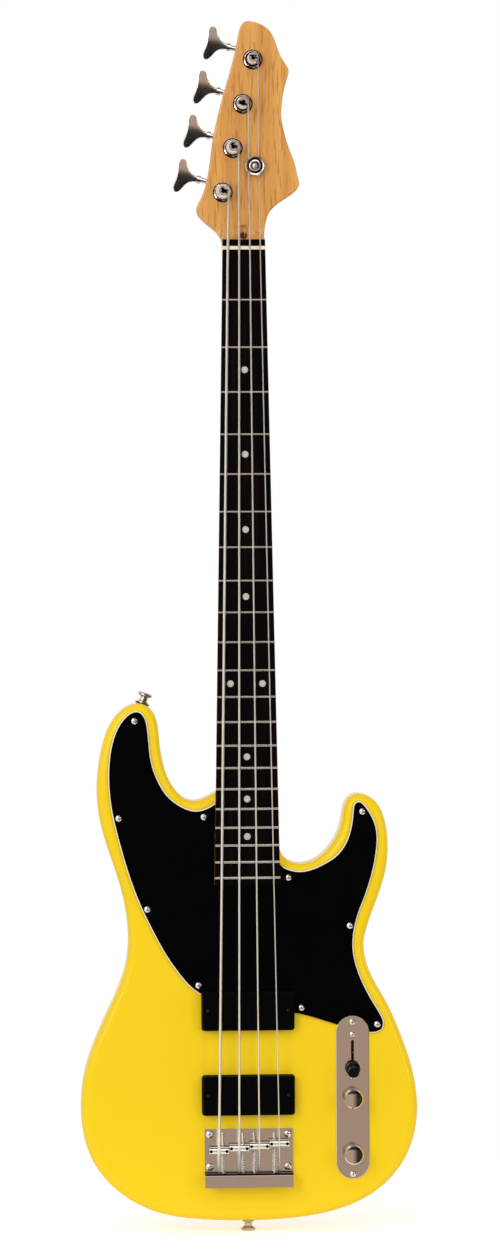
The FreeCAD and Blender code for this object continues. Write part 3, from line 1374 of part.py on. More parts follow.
# Pickguard: bevelled sheet cut round the neck, the neck pickup and the control plate
GUARD_LEFT_SHARES = [
    (-0.0933, 0.8096), (-0.1207, 0.7997), (-0.1497, 0.7959), (-0.1764, 0.7998), (-0.2029, 0.8090),
    (-0.2310, 0.8244), (-0.2530, 0.8456), (-0.2696, 0.8697), (-0.2804, 0.8976), (-0.2854, 0.9284),
    (-0.2894, 0.9554), (-0.2960, 0.9733), (-0.3077, 0.9843), (-0.3229, 0.9882), (-0.3426, 0.9843),
    (-0.3606, 0.9744), (-0.3782, 0.9583), (-0.3932, 0.9351), (-0.4035, 0.9053), (-0.4080, 0.8706),
    (-0.4065, 0.8321), (-0.3997, 0.7964), (-0.3880, 0.7608), (-0.3739, 0.7250), (-0.3557, 0.6837),
    (-0.3347, 0.6433), (-0.3113, 0.6057), (-0.2791, 0.5624), (-0.2439, 0.5200), (-0.2057, 0.4834),
    (-0.1705, 0.4566), (-0.1409, 0.4419),
]
GUARD_LOW_SHARES = [(0.1372, 0.4044), (0.1742, 0.3994), (0.2120, 0.3921), (0.2629, 0.3813)]
GUARD_RIGHT_SHARES = [
    (0.3620, 0.3635), (0.3857, 0.3648), (0.4010, 0.3707), (0.4061, 0.3813), (0.4022, 0.3928),
    (0.3880, 0.4102),
    (0.3611, 0.4401), (0.3392, 0.4699), (0.3232, 0.5007), (0.3164, 0.5297), (0.3197, 0.5605),
    (0.3323, 0.5932),
    (0.3508, 0.6240), (0.3674, 0.6558), (0.3795, 0.6857), (0.3875, 0.7155), (0.3900, 0.7396),
    (0.3847, 0.7656),
    (0.3715, 0.7859), (0.3534, 0.8032), (0.3342, 0.8114), (0.3223, 0.8080), (0.3164, 0.7955),
    (0.3111, 0.7666),
    (0.2965, 0.7348), (0.2681, 0.7087), (0.2226, 0.6896), (0.1863, 0.6802), (0.1573, 0.6776),
    (0.1287, 0.6809),
    (0.1011, 0.6891),
]
guard_left = [on_body(s) for s in GUARD_LEFT_SHARES]
guard_low = [on_body(s) for s in GUARD_LOW_SHARES]
guard_right = [on_body(s) for s in GUARD_RIGHT_SHARES]
guard = new_body("pickguard")
guard_plan = [smooth(guard_left), line(guard_left[-1], guard_low[0]), smooth(guard_low),
              line(guard_low[-1], guard_right[0]),
              smooth(guard_right), line(guard_right[-1], guard_left[0])]
guard_pad = pad(guard, sketch(guard, guard_plan), "guard_thickness")
dress(guard, "Chamfer", guard_pad, "Size", "guard_bevel",
      lambda e: level(e, size.guard_thickness) and e.Length > size.pickup_length * 2)
gap = size.guard_gap
neck_low = neck_end_y - gap
guard_holes = [line(Vector(*a, 0), Vector(*b, 0)) for a, b in zip(
    [(-neck_half(neck_low) - gap, neck_low), (neck_half(neck_low) + gap, neck_low),
     (neck_half(pocket_top) + gap, pocket_top), (-neck_half(pocket_top) - gap, pocket_top)],
    [(neck_half(neck_low) + gap, neck_low), (neck_half(pocket_top) + gap, pocket_top),
     (-neck_half(pocket_top) - gap, pocket_top), (-neck_half(neck_low) - gap, neck_low)])]
guard_holes += rounded_box(-cavity_half_x, cavity_half_x, size.pickup_neck_height - cavity_half_y,
                           size.pickup_neck_height + cavity_half_y,
                           size.pickup_corner_radius + size.pickup_gap)
guard_holes += stadium(size.control_plate_x, size.control_plate_height - size.control_plate_length / 2 - gap,
                       size.control_plate_height + size.control_plate_length / 2 + gap,
                       size.control_plate_width / 2 + gap)
pocket(guard, sketch(guard, guard_holes), "guard_thickness", True)
guard_drill = [circle(p.x, p.y, size.plate_screw_diameter + size.fit_gap * 2) for p in guard_screw_spots]
pocket(guard, sketch(guard, guard_drill), "guard_thickness", True)
plate_screw = screw(size.plate_screw_head_diameter, size.plate_screw_head_height, size.plate_screw_diameter,
                    size.plate_screw_length)
group_piece("pickguard_screws", [placed(plate_screw, p + FRONT * size.guard_thickness)
                                 for p in guard_screw_spots])

# Pickups: hollow covers with screw bosses, two coils on bar magnets in each
half_x = size.pickup_length / 2
half_y = size.pickup_width / 2
pickup_top = size.pickup_rise
for label, y in (("neck_pickup_cover", size.pickup_neck_height),
                 ("bridge_pickup_cover", size.pickup_bridge_height)):
    cover = new_body(label)
    outer = pad(cover, sketch(cover, rounded_box(-half_x, half_x, y - half_y, y + half_y,
                                                 size.pickup_corner_radius),
                              lift="-pickup_sink"), "pickup_rise + pickup_sink")
    dress(cover, "Fillet", outer, "Radius", "pickup_edge_radius", lambda e: level(e, pickup_top))
    wall = size.pickup_wall
    room_x = size.pickup_screw_spacing / 2 - size.pickup_screw_boss_diameter / 2
    pocket(cover, sketch(cover, rounded_box(-room_x, room_x, y - half_y + wall, y + half_y - wall, wall),
                         lift="-pickup_sink"), "pickup_rise + pickup_sink - pickup_wall", True)
    spots = [p for p in pickup_screw_spots if abs(p.y - y) < size.fit_gap]
    pocket(cover, sketch(cover, [circle(p.x, p.y, size.pickup_screw_diameter + size.fit_gap * 2)
                                 for p in spots],
                         lift="-pickup_sink"), "pickup_rise + pickup_sink", True)
    pocket(cover, sketch(cover, [circle(p.x, p.y, size.pickup_screw_head_diameter + size.moving_gap * 2)
                                 for p in spots],
                         lift="pickup_rise"), "pickup_screw_sink")
coils = []
magnets = []
coil_top = pickup_top - size.pickup_wall - size.fit_gap
coil_low = coil_top - size.coil_height
coil_apart = size.coil_width / 2 + size.fit_gap
for y in pickup_heights:
    for sign in (-1, 1):
        centre = y + sign * coil_apart
        shape = plan_solid(stadium(0, -size.coil_length / 2, size.coil_length / 2, size.coil_width / 2),
                           coil_low, size.coil_height)
        core = block(Vector(-size.coil_core_width / 2, -size.coil_length / 2 + size.coil_width / 2,
                            coil_low - size.overrun),
                     Vector(size.coil_core_width / 2, size.coil_length / 2 - size.coil_width / 2,
                            coil_top + size.overrun))
        coils.append(placed(shape.cut(core), Vector(0, centre, 0), Rotation(FRONT, 90)))
        bar = block(Vector(-size.magnet_width / 2,
                           -size.coil_length / 2 + size.coil_width / 2 + size.fit_gap, coil_low),
                    Vector(size.magnet_width / 2, size.coil_length / 2 - size.coil_width / 2 - size.fit_gap,
                           coil_top))
        magnets.append(placed(bar, Vector(0, centre, 0), Rotation(FRONT, 90)))
group_piece("pickup_coils", coils)
group_piece("pickup_magnets", magnets)
pickup_seat = pickup_top - size.pickup_screw_sink
pickup_screw_length = pickup_seat + size.pickup_cavity_depth + size.pickup_screw_into_body - size.fit_gap
pickup_screw = screw(size.pickup_screw_head_diameter, size.pickup_screw_head_height,
                     size.pickup_screw_diameter, pickup_screw_length)
group_piece("pickup_screws", [placed(pickup_screw, p + FRONT * pickup_seat) for p in pickup_screw_spots])

# Bridge plate: one sheet bent up to a wall and back into a hood
sheet_t = size.bridge_plate_thickness
hood_back = wall_front - size.bridge_hood_length
rise_z = size.bridge_rise
bend = size.bridge_bend_radius
profile = [(size.bridge_front_height, 0), (size.bridge_front_height, sheet_t), (wall_front, sheet_t),
           (wall_front, rise_z - bend), (wall_front - bend, rise_z), (hood_back, rise_z),
           (hood_back, rise_z - sheet_t),
           (wall_back - sheet_t / 4, rise_z - sheet_t), (wall_back, rise_z - sheet_t * 1.25), (wall_back, 0)]
corner = (1 - math.sqrt(0.5)) * bend
bridge = new_body("bridge_plate")
bridge_sides = []
for i, (a, b) in enumerate(zip(profile, profile[1:] + profile[:1])):
    if i == 3:
        bridge_sides.append(Part.Arc(Vector(a[0], a[1], 0), Vector(wall_front - corner, rise_z - corner, 0),
                                     Vector(b[0], b[1], 0)))
    else:
        bridge_sides.append(line(Vector(a[0], a[1], 0), Vector(b[0], b[1], 0)))
pad(bridge, sketch(bridge, bridge_sides, "YZ_Plane", "-bridge_width / 2"), "bridge_width")
pocket(bridge, sketch(bridge, [circle(p.x, p.y, size.bridge_screw_diameter + size.fit_gap * 2)
                               for p in bridge_screw_spots]),
       "bridge_plate_thickness", True)
tools = []
screw_x = {n: saddle_x[n] + (size.intonation_offset if saddle_x[n] < 0 else -size.intonation_offset)
           for n in STRINGS}
for name in STRINGS:
    edges, way, start, ending = routes[name]
    at_wall = start + way * (sheet_t / 2)
    tools.append(rod(gauge[name] / 2 + size.moving_gap * 2,
                     Vector(at_wall.x, wall_back - size.overrun, at_wall.z), UP,
                     sheet_t + size.overrun * 2))
    tools.append(rod(size.intonation_screw_diameter / 2 + size.running_gap,
                     Vector(screw_x[name], wall_back - size.overrun, size.intonation_height), UP,
                     sheet_t + size.overrun * 2))
cut_piece("bridge_plate", bridge, tools)
bridge_screw = screw(size.bridge_screw_head_diameter, size.bridge_screw_head_height,
                     size.bridge_screw_diameter, size.bridge_screw_length)
group_piece("bridge_screws", [placed(bridge_screw, p + FRONT * sheet_t) for p in bridge_screw_spots])

# Saddles on their height screws, intonation screws and springs
springs = []
for name in STRINGS:
    x, y = saddle_x[name], saddle_y[name]
    half = size.saddle_width / 2
    long = size.saddle_length / 2
    top = saddle_z[name] - gauge[name] / 2 + size.saddle_groove
    low = sheet_t + size.saddle_foot
    saddle = block(Vector(x - half, y - long, low), Vector(x + half, y + long, top - long))
    saddle = saddle.fuse(rod(long, Vector(x - half, y, top - long), RIGHT,
                             size.saddle_width)).removeSplitter()
    ring_radius = long + gauge[name] / 2 - size.saddle_groove
    groove = Part.makeTorus(ring_radius, gauge[name] / 2 + size.string_gap, Vector(x, y, top - long), RIGHT)
    saddle = saddle.cut(groove)
    saddle = saddle.cut(rod(size.intonation_screw_diameter / 2 + size.running_gap,
                            Vector(screw_x[name], y - long - size.overrun, size.intonation_height), UP,
                            long * 2 + size.overrun * 2))
    solids = []
    for sign in (-1, 1):
        spot = Vector(x + sign * size.height_screw_spread / 2, y, 0)
        saddle = saddle.cut(rod(size.height_screw_diameter / 2 + size.fit_gap,
                                spot + FRONT * (low - size.overrun), FRONT,
                                top + size.overrun * 2))
        foot = sheet_t + size.fit_gap
        grub = rod(size.height_screw_diameter / 2, spot + FRONT * foot, FRONT,
                   top + size.height_screw_proud - foot)
        grub = grub.cut(placed(hexagon(size.height_screw_socket_diameter,
                                       size.height_screw_diameter + size.overrun),
                               spot + FRONT * (top + size.height_screw_proud - size.height_screw_diameter)))
        solids.append(grub)
    group_piece("saddle_" + name, [saddle] + solids)
    tip = size.bridge_front_height - size.intonation_tip_inset
    bolt = screw(size.intonation_head_diameter, size.intonation_head_length, size.intonation_screw_diameter,
                 tip - wall_back + size.fit_gap)
    solid_piece("intonation_screw_" + name, placed(bolt,
                                                   Vector(screw_x[name], wall_back - size.fit_gap,
                                                          size.intonation_height),
                                                   Rotation(FRONT, UP * -1)))
    # a spring pushes each saddle away from the wall
    wire = size.spring_wire_diameter
    spring_low = wall_front + wire / 2 + size.fit_gap
    spring_high = y - long - wire / 2 - size.fit_gap
    radius = (size.spring_diameter - wire) / 2
    turns = int(size.spring_turns)
    rise = (spring_high - spring_low) / (2 * math.pi * turns)
    edges = []

    def on_spring(angle):
        spot = Vector(screw_x[name] + radius * math.cos(angle), spring_low + rise * angle,
                      size.intonation_height + radius * math.sin(angle))
        return spot, Vector(-radius * math.sin(angle), rise, radius * math.cos(angle)).normalize()

    for i in range(turns * 4):
        a, b = on_spring(QUARTER * i), on_spring(QUARTER * (i + 1))
        edges += biarc(a[0], a[1], b[0], b[1])
    spring = tube(edges, on_spring(0)[0], on_spring(0)[1], wire)
    share = spring.Volume / (math.pi * wire ** 2 / 4 * sum(e.Length for e in edges))
    print("spring %s: volume share %.4f, least gap to itself %.2f mm" % (name, share,
                                                                         least_gap(edges, wire, wire)))
    springs.append(spring)
group_piece("intonation_springs", springs)

# Control plate with its slot, two potentiometers and knobs
plate_t = size.control_plate_thickness
plate = new_body("control_plate")
plate_pad = pad(plate, sketch(plate, stadium(size.control_plate_x,
                                             size.control_plate_height - size.control_plate_length / 2,
                                             size.control_plate_height + size.control_plate_length / 2,
                                             size.control_plate_width / 2)), "control_plate_thickness")
dress(plate, "Fillet", plate_pad, "Radius", "control_plate_edge", lambda e: level(e, plate_t))
pot_spots = {"volume": Vector(size.control_plate_x, size.pot_volume_height, 0),
             "tone": Vector(size.control_plate_x, size.pot_tone_height, 0)}
plate_holes = [circle(p.x, p.y, size.plate_screw_diameter + size.fit_gap * 2) for p in control_screw_spots]
plate_holes += [circle(p.x, p.y, size.switch_screw_diameter + size.fit_gap * 2) for p in switch_screw_spots]
plate_holes += [circle(p.x, p.y, size.pot_bushing_diameter + size.fit_gap * 2) for p in pot_spots.values()]
plate_holes += stadium(size.control_plate_x, size.switch_height - size.slot_length / 2,
                       size.switch_height + size.slot_length / 2, size.slot_width / 2)
pocket(plate, sketch(plate, plate_holes), "control_plate_thickness", True)
group_piece("control_plate_screws", [placed(plate_screw, p + FRONT * plate_t) for p in control_screw_spots])
pots = []
bushing_half = size.pot_bushing_diameter / 2
shaft_half = size.pot_shaft_diameter / 2
knob_low = plate_t + size.knob_lift
for name, spot in pot_spots.items():
    can_top = -size.fit_gap
    can = rod(size.pot_can_diameter / 2, spot + FRONT * (can_top - size.pot_can_height), FRONT,
              size.pot_can_height)
    can = can.fuse(rod(bushing_half, spot + FRONT * can_top, FRONT,
                       plate_t + size.pot_bushing_rise - can_top))
    can = can.cut(rod(shaft_half + size.running_gap, spot - FRONT * (size.pot_shaft_sink + size.fit_gap),
                      FRONT,
                      size.pot_shaft_sink + plate_t + size.pot_bushing_rise + size.overrun))
    nut_shape = placed(hexagon(size.pot_nut_flats, size.pot_nut_height), spot + FRONT * plate_t)
    nut_shape = nut_shape.cut(rod(bushing_half + size.fit_gap, spot, FRONT,
                                  plate_t + size.pot_nut_height + size.overrun))
    pots += [can, nut_shape]
    knob = new_body(name + "_knob_cap")
    half = size.knob_diameter / 2
    high = knob_low + size.knob_height
    edge = size.knob_top_edge
    recess = size.knob_recess_diameter / 2
    inside = knob_low + size.knob_recess_depth
    bore_top = knob_low + size.knob_bore_depth
    bore = shaft_half + size.fit_gap
    corners = [(0, bore_top), (bore, bore_top), (bore, inside), (recess, inside), (recess, knob_low),
               (half, knob_low),
               (half, high - edge), (half - edge, high), (0, high)]
    ring = [Vector(r, z, 0) for r, z in corners]
    drawing = sketch(knob, [line(a, b) for a, b in zip(ring, ring[1:] + ring[:1])], "XZ_Plane")
    spin = knob.newObject("PartDesign::Revolution", name + "_knob_spin")
    spin.Profile = drawing
    spin.ReferenceAxis = (drawing, ["V_Axis"])
    spin.Angle = 360
    doc.recompute()
    pieces.remove(knob)
    shaft_low = -size.pot_shaft_sink
    shaft_solid = rod(shaft_half, spot + FRONT * shaft_low, FRONT, bore_top - size.fit_gap - shaft_low)
    set_hole = rod(size.knob_set_screw_diameter / 2, spot + FRONT * (knob_low + size.knob_set_screw_height),
                   RIGHT, half * 2)
    cap = placed(knob.Shape, spot).cut(set_hole)
    knob.Label = name + "_knob_blank"
    set_screw = rod(size.knob_set_screw_diameter / 2 - size.fit_gap,
                    spot + Vector(bore + size.fit_gap, 0, knob_low + size.knob_set_screw_height), RIGHT,
                    half - bore - edge)
    group_piece(name + "_knob", [cap, shaft_solid, set_screw])
group_piece("potentiometers", pots)

# Blade switch: frame with a pivot pin, lever and tip
centre = Vector(size.control_plate_x, size.switch_height, 0)
pivot = centre - FRONT * size.switch_pivot_depth
frame_w = size.switch_frame_width / 2
frame_wall = size.switch_frame_wall
frame = block(centre + Vector(-frame_w, -size.switch_frame_length / 2, -frame_wall - size.fit_gap),
              centre + Vector(frame_w, size.switch_frame_length / 2, -size.fit_gap))
cheek = size.switch_cheek_length / 2
for sign in (-1, 1):
    low_x, high_x = sorted((sign * frame_w, sign * (frame_w - frame_wall)))
    frame = frame.fuse(block(pivot + Vector(low_x, -cheek, -size.switch_hub_diameter),
                             centre + Vector(high_x, cheek, -frame_wall - size.fit_gap)))
frame = frame.fuse(rod(size.switch_pin_diameter / 2, pivot - RIGHT * (frame_w - frame_wall / 2), RIGHT,
                       2 * frame_w - frame_wall))
slot_room = plan_solid(stadium(size.control_plate_x, size.switch_height - size.slot_length / 2,
                               size.switch_height + size.slot_length / 2,
                               size.slot_width / 2 + size.moving_gap),
                       -frame_wall - size.overrun, frame_wall + size.overrun * 2)
frame = frame.cut(slot_room)
for spot in switch_screw_spots:
    frame = frame.cut(placed(screw_hole(size.switch_screw_diameter, size.switch_screw_length),
                             spot + FRONT * size.overrun))
solid_piece("switch_frame", frame)
switch_screw = screw(size.switch_screw_head_diameter, size.switch_screw_head_height,
                     size.switch_screw_diameter, size.switch_screw_length)
group_piece("switch_screws", [placed(switch_screw, p + FRONT * plate_t) for p in switch_screw_spots])
lever_half = size.lever_thickness / 2
hub_half = frame_w - frame_wall - size.moving_gap
lever = block(Vector(-lever_half, -size.lever_width / 2, 0),
              Vector(lever_half, size.lever_width / 2, size.lever_reach))
lever = lever.fuse(rod(size.switch_hub_diameter / 2, RIGHT * -hub_half, RIGHT, hub_half * 2))
lever = lever.cut(rod(size.switch_pin_diameter / 2 + size.running_gap, RIGHT * -hub_half * 2, RIGHT,
                      hub_half * 4))
lean = Rotation(RIGHT, size.switch_lean)
solid_piece("switch_lever", placed(lever, pivot, lean))
tip_half = size.tip_diameter / 2
tip_waist = size.tip_waist_diameter / 2
tip_low = size.tip_bottom
tip_high = size.tip_bottom + size.tip_height
TIP_STEP_SHARES = (0.10, 0.36, 0.52, 0.92)
tip_levels = [tip_low + size.tip_height * s for s in TIP_STEP_SHARES]
tip_bevel = tip_half - tip_waist
tip = turned([(0, tip_low), (tip_half - tip_bevel / 2, tip_low), (tip_half, tip_levels[0]),
              (tip_half, tip_levels[1]),
              (tip_waist, tip_levels[2]), (tip_waist, tip_levels[3]), (tip_waist - tip_bevel / 2, tip_high),
              (0, tip_high)])
lever_gap = size.fit_gap
tip = tip.cut(block(Vector(-lever_half - lever_gap, -size.lever_width / 2 - lever_gap,
                           tip_low - size.overrun),
                    Vector(lever_half + lever_gap, size.lever_width / 2 + lever_gap,
                           size.lever_reach + lever_gap)))
solid_piece("switch_tip", placed(tip, pivot, lean))

# Output jack in its cup on the lower rim, facing right
ring_half = size.jack_flange_diameter / 2
cup_half = size.jack_cup_diameter / 2
cup_wall = size.jack_cup_wall
thread_half = size.jack_thread_diameter / 2
cup = turned([(thread_half + size.fit_gap, -size.jack_cup_depth), (cup_half, -size.jack_cup_depth),
              (cup_half, 0), (ring_half, 0),
              (ring_half, size.jack_flange_thickness / 2),
              (ring_half - size.jack_flange_thickness / 2, size.jack_flange_thickness),
              (cup_half - cup_wall, size.jack_flange_thickness),
              (cup_half - cup_wall, -size.jack_cup_depth + cup_wall),
              (thread_half + size.fit_gap, -size.jack_cup_depth + cup_wall)])
solid_piece("jack_cup", aimed(cup, jack_at, RIGHT))
socket_low = -size.jack_cup_depth
bore_half = size.jack_bore_diameter / 2
frame_half = size.jack_frame_diameter / 2
jack_mouth = socket_low + size.jack_thread_length - cup_wall
jack_shape = turned([(bore_half, socket_low - size.jack_frame_length + cup_wall),
                     (frame_half, socket_low - size.jack_frame_length + cup_wall),
                     (frame_half, socket_low - size.fit_gap), (thread_half, socket_low - size.fit_gap),
                     (thread_half, jack_mouth),
                     (bore_half, jack_mouth)])
jack_nut = placed(hexagon(size.jack_nut_flats, size.jack_nut_thickness),
                  FRONT * (socket_low + cup_wall + size.fit_gap))
jack_nut = jack_nut.cut(rod(thread_half + size.fit_gap, FRONT * socket_low, FRONT,
                            size.jack_cup_depth + size.overrun))
group_piece("output_jack", [aimed(jack_shape, jack_at, RIGHT), aimed(jack_nut, jack_at, RIGHT)])

# Leads in their channels, and the tone capacitor
lead_half = size.lead_diameter / 2
lead_z = channel_z - channel + lead_half + size.fit_gap
leads = [rod(lead_half, Vector(channel_x, size.pickup_bridge_height, lead_z), UP,
             size.pickup_neck_height - size.pickup_bridge_height),
         rod(lead_half, Vector(channel_x, channel_y, lead_z), RIGHT,
             size.control_plate_x - control_half - channel_x + lead_half)]
jack_lead_z = mid_depth - jack_hole + lead_half + size.fit_gap
leads.append(rod(lead_half, Vector(size.control_plate_x, size.jack_height, jack_lead_z), RIGHT,
                 jack_x - size.jack_cup_depth - size.control_plate_x - size.lead_diameter))
capacitor = rod(size.capacitor_diameter / 2,
                Vector(size.control_plate_x,
                       (size.pot_volume_height + size.pot_tone_height - size.capacitor_length) / 2,
                       -size.control_cavity_depth + size.capacitor_diameter / 2 + size.fit_gap), UP,
                size.capacitor_length)
group_piece("wiring", leads)
solid_piece("capacitor", capacitor)

# Neck plate and its four screws on the back
neck_plate = new_body("neck_plate")
plate_half = size.neck_plate_width / 2
pad(neck_plate, sketch(neck_plate, rounded_box(-plate_half, plate_half, neck_plate_low,
                                                          neck_plate_low + size.neck_plate_length,
                                               size.neck_plate_corner),
                                  lift="-body_thickness"), "neck_plate_thickness", True)
pocket(neck_plate, sketch(neck_plate, [circle(p.x, p.y, size.neck_screw_diameter + size.fit_gap * 2)
                                       for p in neck_screw_spots],
                          lift="-body_thickness"), "neck_plate_thickness")
neck_screw = screw(size.neck_screw_head_diameter, size.neck_screw_head_height, size.neck_screw_diameter,
                   size.neck_screw_length)
group_piece("neck_screws", [aimed(neck_screw, p + FRONT * (body_back - size.neck_plate_thickness),
                                  FRONT * -1)
                            for p in neck_screw_spots])

# Strap buttons on felts, one on the end and one on the long horn
button_half = size.button_head_diameter / 2
button_waist = size.button_waist_diameter / 2
button_base = size.button_base_diameter / 2
button_hole = size.button_screw_diameter / 2 + size.fit_gap
head_hole = size.button_screw_head_diameter / 2 + size.fit_gap
button_low = size.felt_thickness
button_top = size.felt_thickness + size.button_height
seat_low = button_top - size.button_screw_sink
button = turned([(button_hole, button_low), (button_base, button_low),
                 (button_base, button_low + size.button_base_thickness / 2),
                 (button_waist, button_low + size.button_base_thickness),
                 (button_waist, button_top - size.button_head_thickness),
                 (button_half, button_top - size.button_head_thickness / 2),
                 (button_half, button_top - size.button_head_thickness / 4),
                 (button_half - size.button_head_thickness / 4, button_top), (head_hole, button_top),
                 (head_hole, seat_low),
                 (button_hole, seat_low)])
felt = turned([(button_hole, size.fit_gap), (size.felt_diameter / 2, size.fit_gap),
               (size.felt_diameter / 2, size.felt_thickness),
               (button_hole, size.felt_thickness)])
button_screw = screw(size.button_screw_head_diameter, size.button_screw_head_height,
                     size.button_screw_diameter,
                     seat_low + size.button_screw_length - size.seat_flat_depth)
buttons = []
felts = []
button_screws = []
for spot, out in strap_spots:
    base = spot - out * size.seat_flat_depth if spot.y > 0.5 * size.body_length else spot
    buttons.append(aimed(button, base, out))
    felts.append(aimed(felt, base, out))
    button_screws.append(aimed(button_screw, base + out * seat_low, out))
group_piece("strap_buttons", buttons)
group_piece("strap_felts", felts)
group_piece("strap_button_screws", button_screws)

# Stand the bass upright: the front faces -Y, and the end button's seat on the body is the origin
seat_spot = strap_spots[0][0]
upright = Placement(Vector(-seat_spot.x, mid_depth, -seat_spot.y), Rotation(RIGHT, 90))
for thing in pieces:
    thing.Placement = upright.multiply(thing.Placement)
doc.recompute()

# Check every object and every piece, then write the pieces
for thing in doc.Objects:
    if "Invalid" in thing.State or "Error" in thing.State:
        raise ValueError("%s failed: %s" % (thing.Name, thing.State))
for thing in pieces:
    shape = thing.Shape
    if shape.isNull() or not shape.isValid() or not shape.Solids:
        raise ValueError("%s has no valid solid" % thing.Label)
os.makedirs("parts", exist_ok=True)
for thing in pieces:
    thing.Shape.exportStep("parts/%s.step" % thing.Label)
    box = thing.Shape.BoundBox
    print("%-24s %2d solids  x %.1f..%.1f  y %.1f..%.1f  z %.1f..%.1f" % (
        thing.Label, len(thing.Shape.Solids), box.XMin, box.XMax, box.YMin, box.YMax, box.ZMin, box.ZMax))
print(len(pieces), "pieces")
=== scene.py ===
# %% [markdown]
# # An electric bass guitar
# A lesson in dressing a finished construction model. The solids come from the imported frame: body, neck,
# hardware and all the small screws already stand in their places. Here each of them gets the finish that
# the real piece has. The tuner keys and the knobs are carved further, and the strings and springs are made
# again.

# %% Load the construction model
import math

import bmesh
import bpy
from mathutils import Matrix, Vector


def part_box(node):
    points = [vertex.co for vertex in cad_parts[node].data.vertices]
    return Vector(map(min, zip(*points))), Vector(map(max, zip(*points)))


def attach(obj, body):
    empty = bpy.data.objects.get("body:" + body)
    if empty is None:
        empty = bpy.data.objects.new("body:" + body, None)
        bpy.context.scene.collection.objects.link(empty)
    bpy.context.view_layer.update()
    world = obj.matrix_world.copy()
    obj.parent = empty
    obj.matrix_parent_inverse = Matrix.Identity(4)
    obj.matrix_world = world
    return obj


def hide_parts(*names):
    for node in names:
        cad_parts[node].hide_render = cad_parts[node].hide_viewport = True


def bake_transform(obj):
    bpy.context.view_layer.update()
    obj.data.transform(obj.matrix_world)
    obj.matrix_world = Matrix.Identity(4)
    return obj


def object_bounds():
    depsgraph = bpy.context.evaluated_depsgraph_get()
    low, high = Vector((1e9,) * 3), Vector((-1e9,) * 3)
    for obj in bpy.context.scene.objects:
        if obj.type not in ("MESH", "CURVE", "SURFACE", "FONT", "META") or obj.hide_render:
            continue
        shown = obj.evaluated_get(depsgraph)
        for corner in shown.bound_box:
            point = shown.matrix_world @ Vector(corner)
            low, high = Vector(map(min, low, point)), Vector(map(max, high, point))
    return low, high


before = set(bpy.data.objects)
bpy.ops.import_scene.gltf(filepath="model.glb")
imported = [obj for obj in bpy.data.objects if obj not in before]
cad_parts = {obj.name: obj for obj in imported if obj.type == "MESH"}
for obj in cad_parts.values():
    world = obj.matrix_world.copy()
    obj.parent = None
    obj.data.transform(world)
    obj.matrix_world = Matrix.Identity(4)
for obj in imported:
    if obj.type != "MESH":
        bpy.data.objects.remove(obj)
cad_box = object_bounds()
scene = bpy.context.scene
scene.view_settings.view_transform = "Standard"
print("pieces in the frame:", len(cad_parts))

# %% [markdown]
# The bass is drawn on a bench: x to the right, y up the neck, z out of the front, in millimetres. The frame
# stands it upright with its front towards -Y. One small function carries bench places over, and a second one
# puts what is made into the scene. The strings go by their notes, from the thickest to the thinnest.

# %% From bench to scene
MM = 0.001
BODY_DEPTH = 44.5
STRINGS = "eadg"


def stand(x, y, z):
    """A bench place in millimetres as a scene place in metres."""
    return Vector((x * MM, (-z - BODY_DEPTH / 2) * MM, y * MM))


def show(name, data):
    """A new object in the scene for a mesh, a lamp or the camera."""
    thing = bpy.data.objects.new(name, data)
    scene.collection.objects.link(thing)
    return thing


print("the bench's origin stands at", stand(0, 0, 0).to_tuple(5))

# %% [markdown]
# The photograph was taken from a few metres away, a little to the left of the neck and aimed at the body,
# so the pieces that stand proud shift slightly to the right. A long lens and a small shift give that view.

# %% Camera
PHOTO_WIDTH = 500
PHOTO_HEIGHT = 1250
EYE = stand(-193.7, 658.8, 4500)
YAW = 0.0541
PITCH = 0.015
ROLL = 0.0056
FOCAL_PIXELS = 4652.7
CENTRE_X = 297.2
CENTRE_Y = 611.6
SENSOR_WIDTH = 36
VIEW_DEPTH = 50
lens = bpy.data.cameras.new("view")
lens.sensor_width = SENSOR_WIDTH
lens.lens = FOCAL_PIXELS / PHOTO_HEIGHT * SENSOR_WIDTH
lens.shift_x = (PHOTO_WIDTH / 2 - CENTRE_X) / PHOTO_HEIGHT
lens.shift_y = (CENTRE_Y - PHOTO_HEIGHT / 2) / PHOTO_HEIGHT
lens.clip_end = VIEW_DEPTH
camera = show("view", lens)
forward = Vector((math.sin(YAW) * math.cos(PITCH), math.cos(YAW) * math.cos(PITCH), -math.sin(PITCH)))
level_right = Vector((math.cos(YAW), -math.sin(YAW), 0))
level_up = level_right.cross(forward)
right = level_right * math.cos(ROLL) - level_up * math.sin(ROLL)
up = level_right * math.sin(ROLL) + level_up * math.cos(ROLL)
turn = Matrix((right, up, -forward)).transposed()
camera.matrix_world = Matrix.Translation(EYE) @ turn.to_4x4()
scene.camera = camera
print("lens", round(lens.lens, 1), "mm")

# %% [markdown]
# Shader maths reads best as plain sums. A small class wraps a socket, so that `1 - mask` adds the Math node
# by itself. A second class holds a node tree and the patterns drawn in it, and a third one is a finish: a
# material with one Principled shader. Colours are written as red, green and blue alone.


